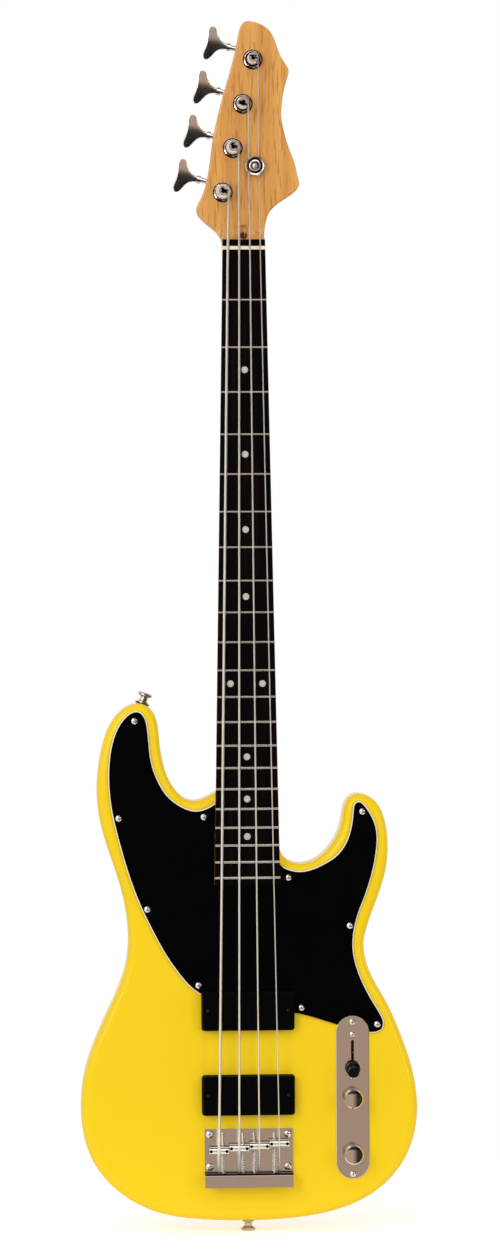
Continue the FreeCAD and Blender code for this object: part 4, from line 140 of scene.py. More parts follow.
# %% A socket that can be used in sums
class Wire:
    """One output socket of a tree, usable in sums."""

    def __init__(self, board, socket):
        self.board = board
        self.socket = socket

    def math(self, operation, *others):
        """A Math node with this socket as its first value."""
        return self.board.math(operation, self, *others)

    def __add__(self, other):
        return self.math("ADD", other)

    def __radd__(self, other):
        return self.board.math("ADD", other, self)

    def __sub__(self, other):
        return self.math("SUBTRACT", other)

    def __rsub__(self, other):
        return self.board.math("SUBTRACT", other, self)

    def __mul__(self, other):
        return self.math("MULTIPLY", other)

    def __rmul__(self, other):
        return self.board.math("MULTIPLY", other, self)

    def __truediv__(self, other):
        return self.math("DIVIDE", other)

    def __neg__(self):
        return self.math("MULTIPLY", -1.0)

    def root(self):
        return self.math("SQRT")

    def larger(self, other):
        return self.math("MAXIMUM", other)

    def near(self, level, reach):
        """1 within the reach of a level, 0 elsewhere."""
        return self.math("COMPARE", level, reach)

    def below(self, level):
        """1 below a level, 0 above it."""
        return self.math("LESS_THAN", level)

    def fade(self, start, end):
        """1 up to the start, 0 from the end on, even in between."""
        limits = {"Value": self, "From Min": start, "From Max": end, "To Min": 1.0, "To Max": 0.0}
        return self.board.node("ShaderNodeMapRange", {"clamp": True}, limits)


# %% A node tree and the patterns in it
MIX_SHARE, MIX_FIRST, MIX_SECOND, MIX_RESULT = 0, 6, 7, 2


class Board:
    """A node tree with the patterns that are drawn in it."""

    def __init__(self, tree):
        self.tree = tree

    def feed(self, socket, value):
        """Links a wire to a socket, or sets a plain value there."""
        if isinstance(value, Wire):
            self.tree.links.new(value.socket, socket)
        elif socket.type == "RGBA":
            socket.default_value = (*value, 1)
        else:
            socket.default_value = value

    def node(self, kind, settings=None, inputs=None, output=0):
        """One node from its type, its settings and what its sockets get. Gives back one of its outputs."""
        made = self.tree.nodes.new(kind)
        for key, value in (settings or {}).items():
            if key == "stops":
                band = made.color_ramp.elements
                while len(band) < len(value):
                    band.new(0.5)
                for element, (at, colour) in zip(band, value):
                    element.position = at
                    element.color = (*colour, 1)
            else:
                setattr(made, key, value)
        for key, value in (inputs or {}).items():
            self.feed(made.inputs[key], value)
        return None if output is None else Wire(self, made.outputs[output])

    def math(self, operation, *values):
        return self.node("ShaderNodeMath", {"operation": operation}, dict(enumerate(values)))

    def place(self, scale=(1, 1, 1), turned=(0, 0, 0)):
        at = self.node("ShaderNodeTexCoord", output="Object")
        return self.node("ShaderNodeMapping", None, {"Vector": at, "Scale": scale, "Rotation": turned})

    def axis(self, name, source="Object"):
        at = self.node("ShaderNodeTexCoord", output=source)
        return self.node("ShaderNodeSeparateXYZ", None, {0: at}, name)

    def noise(self, at, scale, detail=4.0, roughness=0.5, distortion=0.0):
        return self.node("ShaderNodeTexNoise", None, {"Vector": at, "Scale": scale, "Detail": detail,
                                                      "Roughness": roughness, "Distortion": distortion})

    def cloud(self, scale, *more):
        """Noise that is neither stretched nor turned."""
        return self.noise(self.place(), scale, *more)

    def ramp(self, value, *stops):
        return self.node("ShaderNodeValToRGB", {"stops": stops}, {0: value})

    def mix(self, share, first, second):
        """The first colour where the share is 0, the second where it is 1."""
        colours = {MIX_SHARE: share, MIX_FIRST: first, MIX_SECOND: second}
        return self.node("ShaderNodeMix", {"data_type": "RGBA"}, colours, MIX_RESULT)


# %% A finish and how a piece wears it
class Finish(Board):
    """A material with one Principled shader and the patterns that feed it."""

    def __init__(self, name, **plain):
        self.material = bpy.data.materials.new(name)
        self.material.use_nodes = True
        super().__init__(self.material.node_tree)
        self.shader = self.tree.nodes["Principled BSDF"]
        for socket, value in plain.items():
            self.set(socket.replace("_", " ").title().replace("Ior", "IOR"), value)

    def set(self, socket, value):
        self.feed(self.shader.inputs[socket], value)

    def bump(self, height, strength, depth):
        relief = {"Strength": strength, "Distance": depth, "Height": height}
        self.set("Normal", self.node("ShaderNodeBump", None, relief))

    def front(self):
        """Height above the body's front face, in metres."""
        return -self.axis("Y") - BODY_DEPTH / 2 * MM

    def from_point(self, x, y):
        """Plan distance from a bench point, in metres, with its two parts."""
        across = self.axis("X") - x * MM
        along = self.axis("Z") - y * MM
        return (across * across + along * along).root(), across, along


def wear(finish, *names):
    """Puts a finish on construction pieces."""
    for name in names:
        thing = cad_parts[name]
        thing.data.materials.clear()
        thing.data.materials.append(finish.material)
    print(finish.material.name, "on", ", ".join(names))


# %% [markdown]
# The background is plain white, and the lamps are three large soft boxes. What polished metal mirrors is what
# makes it look like metal: behind the camera lies a dim warm room, with a bright window on the left, a band
# of light overhead, and shadow near the ground and on the right. Only mirrored rays see that room, and the
# white backdrop dims for them towards its upper and lower ends.

# %% The room that metal mirrors
WHITE = (1.0, 1.0, 1.0)
ROOM = (0.43, 0.31, 0.235)
GROUND = (0.003, 0.003, 0.003)
LOW_WALL = (0.03, 0.025, 0.02)
OVERHEAD = (0.88, 0.85, 0.81)
CEILING = (0.20, 0.17, 0.15)
WINDOW = (0.95, 0.92, 0.88)
DARK_SIDE = (0.012, 0.010, 0.009)
world = bpy.data.worlds.new("studio")
scene.world = world
world.use_nodes = True
world.node_tree.nodes.clear()
studio = Board(world.node_tree)
sideways = studio.axis("X", "Generated")
backwards = studio.axis("Y", "Generated")
upward = studio.axis("Z", "Generated") * 0.5 + 0.5
room = studio.ramp(upward, (0.20, GROUND), (0.36, LOW_WALL), (0.42, ROOM), (0.57, ROOM), (0.66, OVERHEAD),
                   (0.80, OVERHEAD), (0.90, CEILING))
room = studio.mix(sideways.fade(-0.50, -0.22), room, WINDOW)
room = studio.mix(sideways.fade(0.22, 0.50), DARK_SIDE, room)

# %% The backdrop and the plain light
BACKDROP_FOOT = (0.22, 0.21, 0.20)
BACKDROP_LOW = (0.80, 0.79, 0.78)
BACKDROP_TOP = (0.55, 0.54, 0.53)
LIGHT_FROM_BEHIND = (0.42, 0.41, 0.40)
LIGHT_FROM_FRONT = (0.69, 0.675, 0.655)
backdrop = studio.ramp(upward, (0.28, BACKDROP_FOOT), (0.44, BACKDROP_LOW), (0.50, WHITE), (0.60, WHITE),
                       (0.74, BACKDROP_TOP))
surroundings = studio.mix(backwards.fade(-0.05, 0.25), backdrop, room)
ambient = studio.mix(backwards.fade(-0.15, 0.45), LIGHT_FROM_BEHIND, LIGHT_FROM_FRONT)
direct = studio.node("ShaderNodeLightPath", output="Is Camera Ray")
mirrored = studio.node("ShaderNodeLightPath", output="Is Glossy Ray")
colour = studio.mix(direct, studio.mix(mirrored, ambient, surroundings), WHITE)
light = studio.node("ShaderNodeBackground", None, {"Color": colour, "Strength": 1.0})
studio.node("ShaderNodeOutputWorld", None, {"Surface": light}, None)
print("world nodes", len(studio.tree.nodes))

# %% Floor
FLOOR_BELOW = 0.5 * MM
FLOOR_HALF_WIDTH = 0.75
FLOOR_FRONT = -0.24
FLOOR_BACK = 0.5
PAPER = (0.92, 0.92, 0.92)
PAPER_GLOW = (0.20, 0.20, 0.20)
PAPER_GLOW_SEEN = (0.50, 0.50, 0.50)
floor_z = min(c[2] for c in cad_box) - FLOOR_BELOW
corners = [(-FLOOR_HALF_WIDTH, FLOOR_FRONT, floor_z), (FLOOR_HALF_WIDTH, FLOOR_FRONT, floor_z),
           (FLOOR_HALF_WIDTH, FLOOR_BACK, floor_z), (-FLOOR_HALF_WIDTH, FLOOR_BACK, floor_z)]
mesh = bpy.data.meshes.new("floor")
mesh.from_pydata(corners, [], [(0, 1, 2, 3)])
paper = Finish("floor", base_color=PAPER, roughness=0.9)
seen = paper.node("ShaderNodeLightPath", output="Is Camera Ray")
paper.set("Emission Color", paper.mix(seen, PAPER_GLOW, PAPER_GLOW_SEEN))
paper.set("Emission Strength", 1.0)
mesh.materials.append(paper.material)
sheet = show("floor", mesh)
print("floor at", round(floor_z, 4))


# %% Lamps
def lamp(name, place, aim, wide, tall, power, tint):
    """A soft box that faces a point."""
    light = bpy.data.lights.new(name, "AREA")
    light.shape = "RECTANGLE"
    light.size = wide
    light.size_y = tall
    light.energy = power
    light.color = tint
    thing = show(name, light)
    thing.location = place
    way = Vector(aim) - Vector(place)
    thing.rotation_euler = way.to_track_quat("-Z", "Y").to_euler()
    print(name, power, "watts")


lamp("left_softbox", (-1.7, -2.2, 1.5), aim=(0, 0, 0.55), wide=0.9, tall=1.8, power=26,
     tint=(1.0, 0.98, 0.95))
lamp("right_softbox", (2.1, -2.0, 0.9), aim=(0, 0, 0.5), wide=0.7, tall=1.6, power=11,
     tint=(1.0, 0.97, 0.93))
lamp("top_softbox", (0.2, -1.6, 2.4), aim=(0, 0, 0.7), wide=1.2, tall=0.8, power=5, tint=WHITE)

# %% [markdown]
# The body wears a thick yellow lacquer: one even colour, a clear coat, and a faint unevenness that only
# shows in its highlights. A slow noise carries a slightly deeper yellow, and a fine one ripples the coat.

# %% Yellow lacquer on the body
YELLOW = (0.945, 0.680, 0.010)
DEEPER_YELLOW = (0.915, 0.610, 0.007)
lacquer = Finish("yellow_lacquer", specular_ior_level=0.2, coat_weight=0.16, coat_roughness=0.04)
lacquer.set("Base Color", lacquer.mix(lacquer.cloud(5.0, 3.0), YELLOW, DEEPER_YELLOW))
lacquer.set("Roughness", 0.20 + 0.08 * lacquer.cloud(40.0))
lacquer.bump(lacquer.cloud(22.0, 2.0), strength=0.05, depth=0.6 * MM)
wear(lacquer, "body")

# %% [markdown]
# The neck is maple under an amber tint. Its grain runs along the neck, so the noise is squeezed lengthwise:
# broad bands of lighter and darker wood, thin dark pores, and a soft cross flame that shows under the coat.
# Inside the bore that leads to the truss rod's nut, painted shade darkens the wood.

# %% Amber maple on the neck
MAPLE_DARK = (0.560, 0.245, 0.052)
MAPLE = (0.695, 0.335, 0.080)
MAPLE_LIGHT = (0.780, 0.415, 0.112)
MAPLE_PORE = (0.330, 0.115, 0.022)
MAPLE_FLAME = (0.600, 0.270, 0.072)
BORE_PAINTED_SHADE = (0.090, 0.012, 0.006)
BORE_Y = 955.2
BORE_INNER = 3.2 * MM
BORE_OUTER = 4.2 * MM
BLACK = (0.0, 0.0, 0.0)
maple = Finish("amber_maple", specular_ior_level=0.25, coat_weight=0.35, coat_roughness=0.08)
bands = maple.noise(maple.place((1, 1, 0.045), turned=(0, 0.06, 0)), 60.0, 5.0, 0.6, 0.8)
pores = maple.noise(maple.place((1, 1, 0.075), turned=(0, 0.09, 0)), 500.0, 2.0, 0.6, 0.3)
flame = maple.noise(maple.place((0.25, 0.25, 1)), 60.0, 2.0)
wood = maple.ramp(bands, (0.25, MAPLE_DARK), (0.48, MAPLE), (0.72, MAPLE_LIGHT))
dark_pores = maple.ramp(pores, (0.39, WHITE), (0.44, BLACK))
wood = maple.mix(0.60 * dark_pores, wood, MAPLE_PORE)
wood = maple.mix(0.22 * flame, wood, MAPLE_FLAME)
# Painted shade inside the truss rod bore, darkening the wood near its axis.
bore = maple.from_point(0.0, BORE_Y)[0].fade(BORE_INNER, BORE_OUTER)
maple.set("Base Color", maple.mix(bore, wood, BORE_PAINTED_SHADE))
maple.set("Roughness", 0.28 + 0.12 * bands)
maple.bump(bands + 0.4 * pores, strength=0.06, depth=0.4 * MM)
wear(maple, "neck")

# %% [markdown]
# The fingerboard is a dark oiled wood without lacquer. Open pores run along it as short pale and black
# strokes, and its gloss is broken where fingers have polished it.

# %% Dark fingerboard
BOARD_BLACK = (0.0008, 0.0005, 0.0008)
BOARD_DARK = (0.0024, 0.0011, 0.0013)
BOARD_BROWN = (0.0070, 0.0028, 0.0024)
BOARD_PORE = (0.014, 0.006, 0.005)
dark_board = Finish("oiled_dark_board", specular_ior_level=0.04)
strokes = dark_board.noise(dark_board.place((1, 1, 0.035)), 260.0, 4.0, 0.65)
figure = dark_board.noise(dark_board.place((1, 1, 0.05)), 45.0, 4.0, 0.55, 0.8)
tone = dark_board.ramp(figure, (0.30, BOARD_BLACK), (0.55, BOARD_DARK), (0.75, BOARD_BROWN))
light_pores = dark_board.ramp(strokes, (0.55, BLACK), (0.68, WHITE))
dark_board.set("Base Color", dark_board.mix(0.4 * light_pores, tone, BOARD_PORE))
dark_board.set("Roughness", 0.34 + 0.25 * strokes)
dark_board.bump(strokes, strength=0.18, depth=0.3 * MM)
wear(dark_board, "fingerboard")

# %% [markdown]
# Plated pieces are plain mirrors with slight smudges. The flat plates, the cast pieces and the screws differ
# in how sharp the mirror is, so a helper makes one finish for each from the same recipe.

# %% Plated metal
CHROME = (0.82, 0.79, 0.76)


def plated(name, colour, rough, smear, grain=90.0):
    """A mirror of one colour, smudged at random."""
    metal = Finish(name, base_color=colour, metallic=1.0)
    metal.set("Roughness", rough + smear * metal.cloud(grain, 4.0, 0.6))
    metal.bump(metal.cloud(grain * 5, 2.0), strength=0.02, depth=0.2 * MM)
    return metal


chrome = plated("chrome_plate", CHROME, 0.06, 0.10)
button_plate = plated("button_plate", (0.62, 0.54, 0.45), 0.12, 0.12)
screw_plate = plated("plated_screw", (0.86, 0.83, 0.79), 0.14, 0.12, 300.0)
black_screw = plated("blacked_screw", (0.030, 0.030, 0.034), 0.22, 0.14, 300.0)
raw_steel = plated("raw_steel", (0.56, 0.55, 0.53), 0.30, 0.20)
fret_silver = plated("fret_silver", (0.82, 0.79, 0.74), 0.16, 0.10, 200.0)
wear(chrome, "control_plate", "neck_plate", "jack_cup", "tuner_housings")
wear(button_plate, "strap_buttons")
wear(screw_plate, *("intonation_screw_" + n for n in STRINGS))
wear(screw_plate, "pickguard_screws", "control_plate_screws", "switch_screws", "bridge_screws",
     "neck_screws", "tuner_screws", "string_guide_screw", "strap_button_screws")
wear(black_screw, "pickup_screws")
wear(raw_steel, "potentiometers", "switch_frame", "switch_lever", "output_jack", "truss_rod")
wear(fret_silver, "frets")

# %% [markdown]
# The bridge gathers shadow, and it is painted into the colour. Painted shade darkens the foot of its wall,
# which lies in the dark behind the springs, and the lower halves of the saddles, while their round tops stay
# bright. Painted shade also darkens the sockets of each saddle's two height screws, found by their distance
# from the saddle's own middle.

# %% Bridge plate
WALL_FOOT = 47.4 * MM
WALL_FOOT_HALF = 1.2 * MM
DEEP_SHADE = (0.010, 0.008, 0.008)
bridge_chrome = plated("bridge_chrome", CHROME, 0.06, 0.10)
# Painted shade along the foot of the bridge wall.
painted_wall_shade = bridge_chrome.axis("Z").near(WALL_FOOT, WALL_FOOT_HALF)
bridge_chrome.set("Base Color", bridge_chrome.mix(painted_wall_shade, CHROME, DEEP_SHADE))
wear(bridge_chrome, "bridge_plate")

# %% Saddles
BRIDGE_LINE = 77.4
SETBACK = {"e": 7.6, "a": 4.9, "d": 3.0, "g": 0.8}
SADDLE_STEP = 19.5
SCREW_SPREAD = 7.6
SADDLE_DARK_TO = 7.5 * MM
SADDLE_BRIGHT_FROM = 10.5 * MM
SOCKET_INNER = 1.3 * MM
SOCKET_OUTER = 1.7 * MM
SADDLE_CHROME = (0.95, 0.93, 0.90)
SADDLE_SHADE = (0.012, 0.010, 0.010)
saddle_x = {n: SADDLE_STEP * (i - 1.5) for i, n in enumerate(STRINGS)}
saddle_y = {n: BRIDGE_LINE - SETBACK[n] for n in STRINGS}
for n in STRINGS:
    metal = plated("saddle_plate_" + n, SADDLE_CHROME, 0.16, 0.12, 200.0)
    # Painted shade on the lower half of the saddle, and below, in the sockets of its two height screws.
    dark = metal.front().fade(SADDLE_DARK_TO, SADDLE_BRIGHT_FROM)
    for side in (-SCREW_SPREAD, SCREW_SPREAD):
        off_screw = metal.from_point(saddle_x[n] + side, saddle_y[n])[0]
        dark = dark.larger(off_screw.fade(SOCKET_INNER, SOCKET_OUTER))
    metal.set("Base Color", metal.mix(dark, SADDLE_CHROME, SADDLE_SHADE))
    wear(metal, "saddle_" + n)

# %% [markdown]
# Some pieces need more shape than the construction gives them. A copy of such a piece's mesh is cut where it
# needs more corners, the corners are moved, and the copy then takes the piece's place in the frame.

# %% Carving a copy of a construction piece
SHARP = math.radians(35)
LEVEL = 0.99999
JOIN_WITHIN = 1e-6
CUT_WITHIN = 1e-7


def blank(node):
    """A copy of a construction mesh, with the corners of its faces joined."""
    shape = bmesh.new()
    shape.from_mesh(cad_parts[node].data)
    bmesh.ops.remove_doubles(shape, verts=shape.verts, dist=JOIN_WITHIN)
    return shape


def cut(shape, faces, spot, normal):
    """Splits those of the faces that a plane crosses."""
    corners = dict.fromkeys(vert for face in faces for vert in face.verts)
    edges = dict.fromkeys(edge for face in faces for edge in face.edges)
    bmesh.ops.bisect_plane(shape, geom=[*corners, *edges, *faces], plane_co=spot, plane_no=normal,
                           dist=CUT_WITHIN)


def carved(shape, node, finish, body):
    """Puts a reworked mesh in the place of a construction piece, smooth but for its sharp edges."""
    bmesh.ops.recalc_face_normals(shape, faces=shape.faces)
    for face in shape.faces:
        face.smooth = abs(face.normal.y) < LEVEL
    for edge in shape.edges:
        edge.smooth = edge.calc_face_angle(0.0) < SHARP
    mesh = bpy.data.meshes.new(node + "_carved")
    shape.to_mesh(mesh)
    shape.free()
    mesh.materials.append(finish.material)
    piece = show(mesh.name, mesh)
    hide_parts(node)
    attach(piece, body)
    print(mesh.name, "faces", len(mesh.polygons))


# %% [markdown]
# Cast hardware is never quite flat. A tuner key is a cushion, thicker along its middle, and it stands turned
# a little, so its mirror runs from light above to black below. The construction keeps it flat. Here its copy
# is cut into strips across the span, each strip is thinned towards the tips, and the whole leans.

# %% Cushioned tuner keys
ROW_ANGLE = math.radians(13)
ROW_START = (-19.8, 997.0)
ROW_STEP = 43.9
KEY_RISE = 8.5
KEY_HALF_SPAN = 16.8 * MM
KEY_THINNED = 0.8
KEY_LEAN = math.radians(13.0)
KEY_STRIPS = 16
COLLAR_START = 23.0 * MM
COLLAR_END = 27.05 * MM
COLLAR_RADIUS = 3.95 * MM
row = Vector((math.sin(ROW_ANGLE), math.cos(ROW_ANGLE)))


def cushioned(node, place):
    """A key thinned towards its tips and leaning forward at the top."""
    low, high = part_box(node)
    spot = Vector((place.x * MM, (low[1] + high[1]) / 2, place.y * MM))
    up_span = Vector((row.x, 0, row.y))
    outward = Vector((-row.y, 0, row.x))
    shape = blank(node)
    for k in range(1, KEY_STRIPS):
        cut(shape, shape.faces[:], spot + up_span * KEY_HALF_SPAN * (2 * k / KEY_STRIPS - 1), up_span)
    lean = Matrix.Rotation(KEY_LEAN, 3, -outward)
    for vert in shape.verts:
        off = vert.co - spot
        span, reach = off.dot(up_span), off.dot(outward)
        if reach > COLLAR_END or abs(span) > COLLAR_RADIUS:
            off.y *= 1 - KEY_THINNED * (span / KEY_HALF_SPAN) ** 2
        if reach > COLLAR_START:
            off = lean @ off
        vert.co = spot + off
    return shape


key_chrome = plated("key_chrome", (0.92, 0.90, 0.88), 0.10, 0.08, 120.0)
for i, n in enumerate(STRINGS):
    place = Vector(ROW_START) + row * (ROW_STEP * i + KEY_RISE)
    node = "tuner_%s_key" % n
    carved(cushioned(node, place), node, key_chrome, "key_" + n)

# %% [markdown]
# Washers and bushings are turned in steps and grooves that catch the light as rings. All four tuners share
# one finish: the place along the row is folded to the nearest post, and the distance from it drives a ripple
# and painted shade in the gaps between the steps. The disc that holds two strings down is made the same way.
# A post is a plain mirror with painted shade inside its slot, which lies near its axis and below its top.

# %% Rings on washers, bushings and string guide
RING_WIDTH = 4.6 * MM
RING_DEPTH = 0.22 * MM
RING_CHROME = (0.84, 0.78, 0.74)
RING_SHADE = (0.008, 0.007, 0.007)
BUSHING_GAPS = ((9.0 * MM, 0.6 * MM), (6.4 * MM, 1.0 * MM))
GUIDE_GAPS = ((6.6 * MM, 0.8 * MM), (3.4 * MM, 0.6 * MM))
NUT_Y = 941.0
GUIDE_X = 11.6
GUIDE_RISE = 81.2
GUIDE_Y = NUT_Y + GUIDE_RISE


def ringed(name, distance_of, gaps):
    """A turned mirror with a ripple of rings and painted shade as a dark line in each gap."""
    metal = Finish(name, metallic=1.0)
    distance = distance_of(metal)
    colour = RING_CHROME
    for gap, half in gaps:
        # Painted shade in each gap between the turned steps.
        colour = metal.mix(distance.near(gap, half), colour, RING_SHADE)
    metal.set("Base Color", colour)
    metal.set("Roughness", 0.10 + 0.08 * metal.cloud(150.0))
    ripple = (distance * (2 * math.pi / RING_WIDTH)).math("COSINE")
    metal.bump(ripple * RING_DEPTH, strength=1.0, depth=1.0)
    return metal


def from_posts(metal):
    """Plan distance from the nearest post, in metres."""
    across = metal.axis("X") - ROW_START[0] * MM
    along = metal.axis("Z") - ROW_START[1] * MM
    up_row = (across * row.x + along * row.y) / (ROW_STEP * MM)
    off_row = across * row.y - along * row.x
    folded = (up_row - up_row.math("ROUND")) * (ROW_STEP * MM)
    return (folded * folded + off_row * off_row).root()


def from_guide(metal):
    """Plan distance from the string guide's middle, in metres."""
    return metal.from_point(GUIDE_X, GUIDE_Y)[0]


wear(ringed("turned_chrome", from_posts, BUSHING_GAPS), "tuner_bushings")
wear(ringed("guide_chrome", from_guide, GUIDE_GAPS), "string_guide")

# %% Slotted posts
SLOT_SHADE = 1.2 * MM
SLOT_REACH = 4.0 * MM
POST_CHROME = (0.94, 0.88, 0.85)
post_chrome = plated("post_chrome", POST_CHROME, 0.10, 0.08, 150.0)
slot_floor = -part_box("tuner_e_post")[0][1] - BODY_DEPTH / 2 * MM - SLOT_SHADE
# Painted shade inside the post's slot, near its axis and below its top.
painted_slot_shade = post_chrome.front().below(slot_floor) * from_posts(post_chrome).below(SLOT_REACH)
post_chrome.set("Base Color", post_chrome.mix(painted_slot_shade, POST_CHROME, DEEP_SHADE))
wear(post_chrome, *("tuner_%s_post" % n for n in STRINGS))

# %% [markdown]
# The knobs are turned barrels with a knurled side and a slightly crowned top. Cuts through each knob's own
# axis, four to a ridge, give its copy the corners that the knurl needs, and the angle round the axis then
# says how deep each corner lies. Their mirror is darker than this studio makes it, so what a room would show
# there is painted into the finish's colour: painted reflection stripes down the side, painted shade at the
# foot above the plate, and a painted dark reflection, the brow, on the top.

# %% Chrome of a knob
KNOB_X = 101.2
KNOB_Y = {"volume": 119.6, "tone": 65.4}
KNOB_TOP = 18.7
KNOB_EDGE = 1.1
KNOB_FOOT = 7.0
FOOT_SHADE_TO = 14.0
KNOB_REFLECTION_STRIPES = 5
REFLECTION_STRIPE_START = 0.7
CROWN_RADIUS = 30.0 * MM
CROWN_SHIFT = -3.5 * MM
BROW_START = 4.4 * MM
BROW_FULL = 5.6 * MM
BROW_REACH = 8.2 * MM
STRIPE_SHARE = 0.9
FOOT_SHARE = 0.6
BROW_SHARE = 0.9
KNOB_BRIGHT = (0.94, 0.91, 0.88)
KNOB_SHADE = (0.020, 0.016, 0.014)


def knob_chrome(name, x, y):
    """The finish of the knob that stands on a bench point, with painted reflections and painted shade."""
    metal = Finish(name, metallic=1.0)
    distance, across, along = metal.from_point(x, y)
    angle = across.math("ARCTAN2", along)
    height = metal.front()
    side = height.below((KNOB_TOP - KNOB_EDGE) * MM)
    # Painted shade at the foot of the side, above the plate.
    foot = height.fade(KNOB_FOOT * MM, FOOT_SHADE_TO * MM)
    off_crest = across - CROWN_SHIFT
    crown = -(off_crest * off_crest) / (2 * CROWN_RADIUS) * (1 - side)
    # Painted reflection: stripes of light and dark down the knurled side.
    stripes = 0.5 - 0.5 * ((angle + REFLECTION_STRIPE_START) * KNOB_REFLECTION_STRIPES).math("COSINE")
    # Painted reflection: a dark band, the brow, across the top.
    brow = (1 - along.fade(BROW_START, BROW_FULL)) * (1 - side) * distance.below(BROW_REACH)
    shade = ((stripes * STRIPE_SHARE).larger(foot * FOOT_SHARE) * side).larger(brow * BROW_SHARE)
    metal.set("Base Color", metal.mix(shade, KNOB_BRIGHT, KNOB_SHADE))
    metal.set("Roughness", 0.07 + 0.08 * metal.cloud(120.0))
    metal.bump(crown, strength=1.0, depth=1.0)
    return metal


# %% Knurled knobs
KNOB_RIDGES = 56
KNURL_DEPTH = 0.25 * MM
KNURL_FROM = 9.3 * MM
KNOB_RIM = 8.35 * MM


def knurled(node, x, y):
    """A knob with ridges down its side."""
    shape = blank(node)
    spot = stand(x, y, 0)
    for k in range(2 * KNOB_RIDGES):
        turned = math.pi * k / (2 * KNOB_RIDGES)
        outer = [f for f in shape.faces
                 if all(math.hypot(v.co.x - spot.x, v.co.z - spot.z) > KNOB_RIM for v in f.verts)]
        cut(shape, outer, spot, Vector((math.cos(turned), 0, math.sin(turned))))
    for vert in shape.verts:
        across, along = vert.co.x - spot.x, vert.co.z - spot.z
        reach = math.hypot(across, along)
        if reach > KNURL_FROM:
            depth = KNURL_DEPTH * (0.5 - 0.5 * math.cos(KNOB_RIDGES * math.atan2(along, across)))
            vert.co.x -= across / reach * depth
            vert.co.z -= along / reach * depth
    return shape


for control, y in KNOB_Y.items():
    node = control + "_knob"
    finish = knob_chrome(node + "_chrome", KNOB_X, y)
    carved(knurled(node, KNOB_X, y), node, finish, control + "_control")

# %% [markdown]
# The pickguard is a laminate: black face, pale core, black back. Its bevelled edge cuts through the core, so
# the pale line is simply a band of depth, and it shows wherever the bevel passes through that band.

# %% Laminated pickguard
CORE_HEIGHT = 1.75 * MM
CORE_HALF = 0.48 * MM
GUARD_CORE = (0.97, 0.90, 0.76)
GUARD_BLACK = (0.0004, 0.0004, 0.0008)
GUARD_SPECK = (0.0012, 0.0011, 0.0015)
laminate = Finish("laminated_guard", specular_ior_level=0.03)
core = laminate.front().near(CORE_HEIGHT, CORE_HALF)
black = laminate.mix(laminate.cloud(60.0), GUARD_BLACK, GUARD_SPECK)
laminate.set("Base Color", laminate.mix(core, black, GUARD_CORE))
laminate.set("Roughness", 0.22 + 0.16 * laminate.cloud(25.0, 5.0))
wear(laminate, "pickguard")

# %% [markdown]
# Pickup covers and the switch tip are moulded plastic: the covers satin with a fine moulded grain, the tip
# polished. The nut is a pale block that has yellowed unevenly, the position dots have a pearly swirl, and the
# felts under the strap buttons are fluffy and take no gloss.

# %% Moulded plastics
cover = Finish("moulded_cover", specular_ior_level=0.04)
grain = cover.cloud(900.0, 3.0)
cover.set("Base Color", cover.mix(cover.cloud(30.0), (0.0006, 0.0006, 0.0010), (0.0018, 0.0017, 0.0021)))
cover.set("Roughness", 0.36 + 0.14 * grain)
cover.bump(grain, strength=0.10, depth=0.2 * MM)
wear(cover, "neck_pickup_cover", "bridge_pickup_cover")
tip = Finish("polished_tip", specular_ior_level=0.07)
tip.set("Base Color", tip.mix(tip.cloud(80.0), (0.0012, 0.0012, 0.0014), (0.0030, 0.0028, 0.0028)))
tip.set("Roughness", 0.10 + 0.10 * tip.cloud(200.0))
wear(tip, "switch_tip")

# %% Nut, dots and felts
bone = Finish("aged_bone")
stain = bone.noise(bone.place((1, 1, 0.5)), 180.0)
bone.set("Base Color", bone.ramp(stain, (0.30, (0.74, 0.63, 0.43)), (0.70, (0.87, 0.80, 0.64))))
bone.set("Roughness", 0.34 + 0.12 * stain)
wear(bone, "nut")
pearl = Finish("pearl_dot", coat_weight=0.5)
swirl = pearl.cloud(240.0, 4.0, 0.6, 1.5)
pearl.set("Base Color", pearl.ramp(swirl, (0.25, (0.40, 0.38, 0.36)), (0.50, (0.56, 0.53, 0.49)),
                                   (0.75, (0.72, 0.68, 0.62))))
pearl.set("Roughness", 0.20 + 0.10 * swirl)
wear(pearl, "inlay_dots")
felt = Finish("black_felt", sheen_weight=0.4)
fluff = felt.cloud(1500.0, 4.0, 0.7)
felt.set("Base Color", felt.ramp(fluff, (0.3, (0.004, 0.004, 0.004)), (0.8, (0.022, 0.021, 0.020))))
felt.set("Roughness", 0.85 + 0.1 * fluff)
felt.bump(fluff, strength=0.5, depth=0.4 * MM)
wear(felt, "strap_felts")

# %% [markdown]
# Inside the cavities sit the coils, magnets, leads and capacitor. They never show, but each has its own
# finish, so that an opened view still reads right.

# %% Inner pieces
copper = plated("enamelled_copper", (0.60, 0.24, 0.10), 0.28, 0.10, 400.0)
magnet = plated("ground_magnet", (0.30, 0.30, 0.31), 0.35, 0.15)
sleeve = Finish("sleeved_lead")
sleeve.set("Base Color", sleeve.mix(sleeve.cloud(300.0), (0.010, 0.010, 0.010), (0.022, 0.021, 0.020)))
sleeve.set("Roughness", 0.5 + 0.1 * sleeve.cloud(300.0))
film = Finish("dipped_film")
film.set("Base Color", film.mix(film.cloud(150.0), (0.33, 0.07, 0.02), (0.42, 0.10, 0.03)))
film.set("Roughness", 0.2 + 0.1 * film.cloud(200.0))
wear(copper, "pickup_coils")
wear(magnet, "pickup_magnets")
wear(sleeve, "wiring")
wear(film, "capacitor")
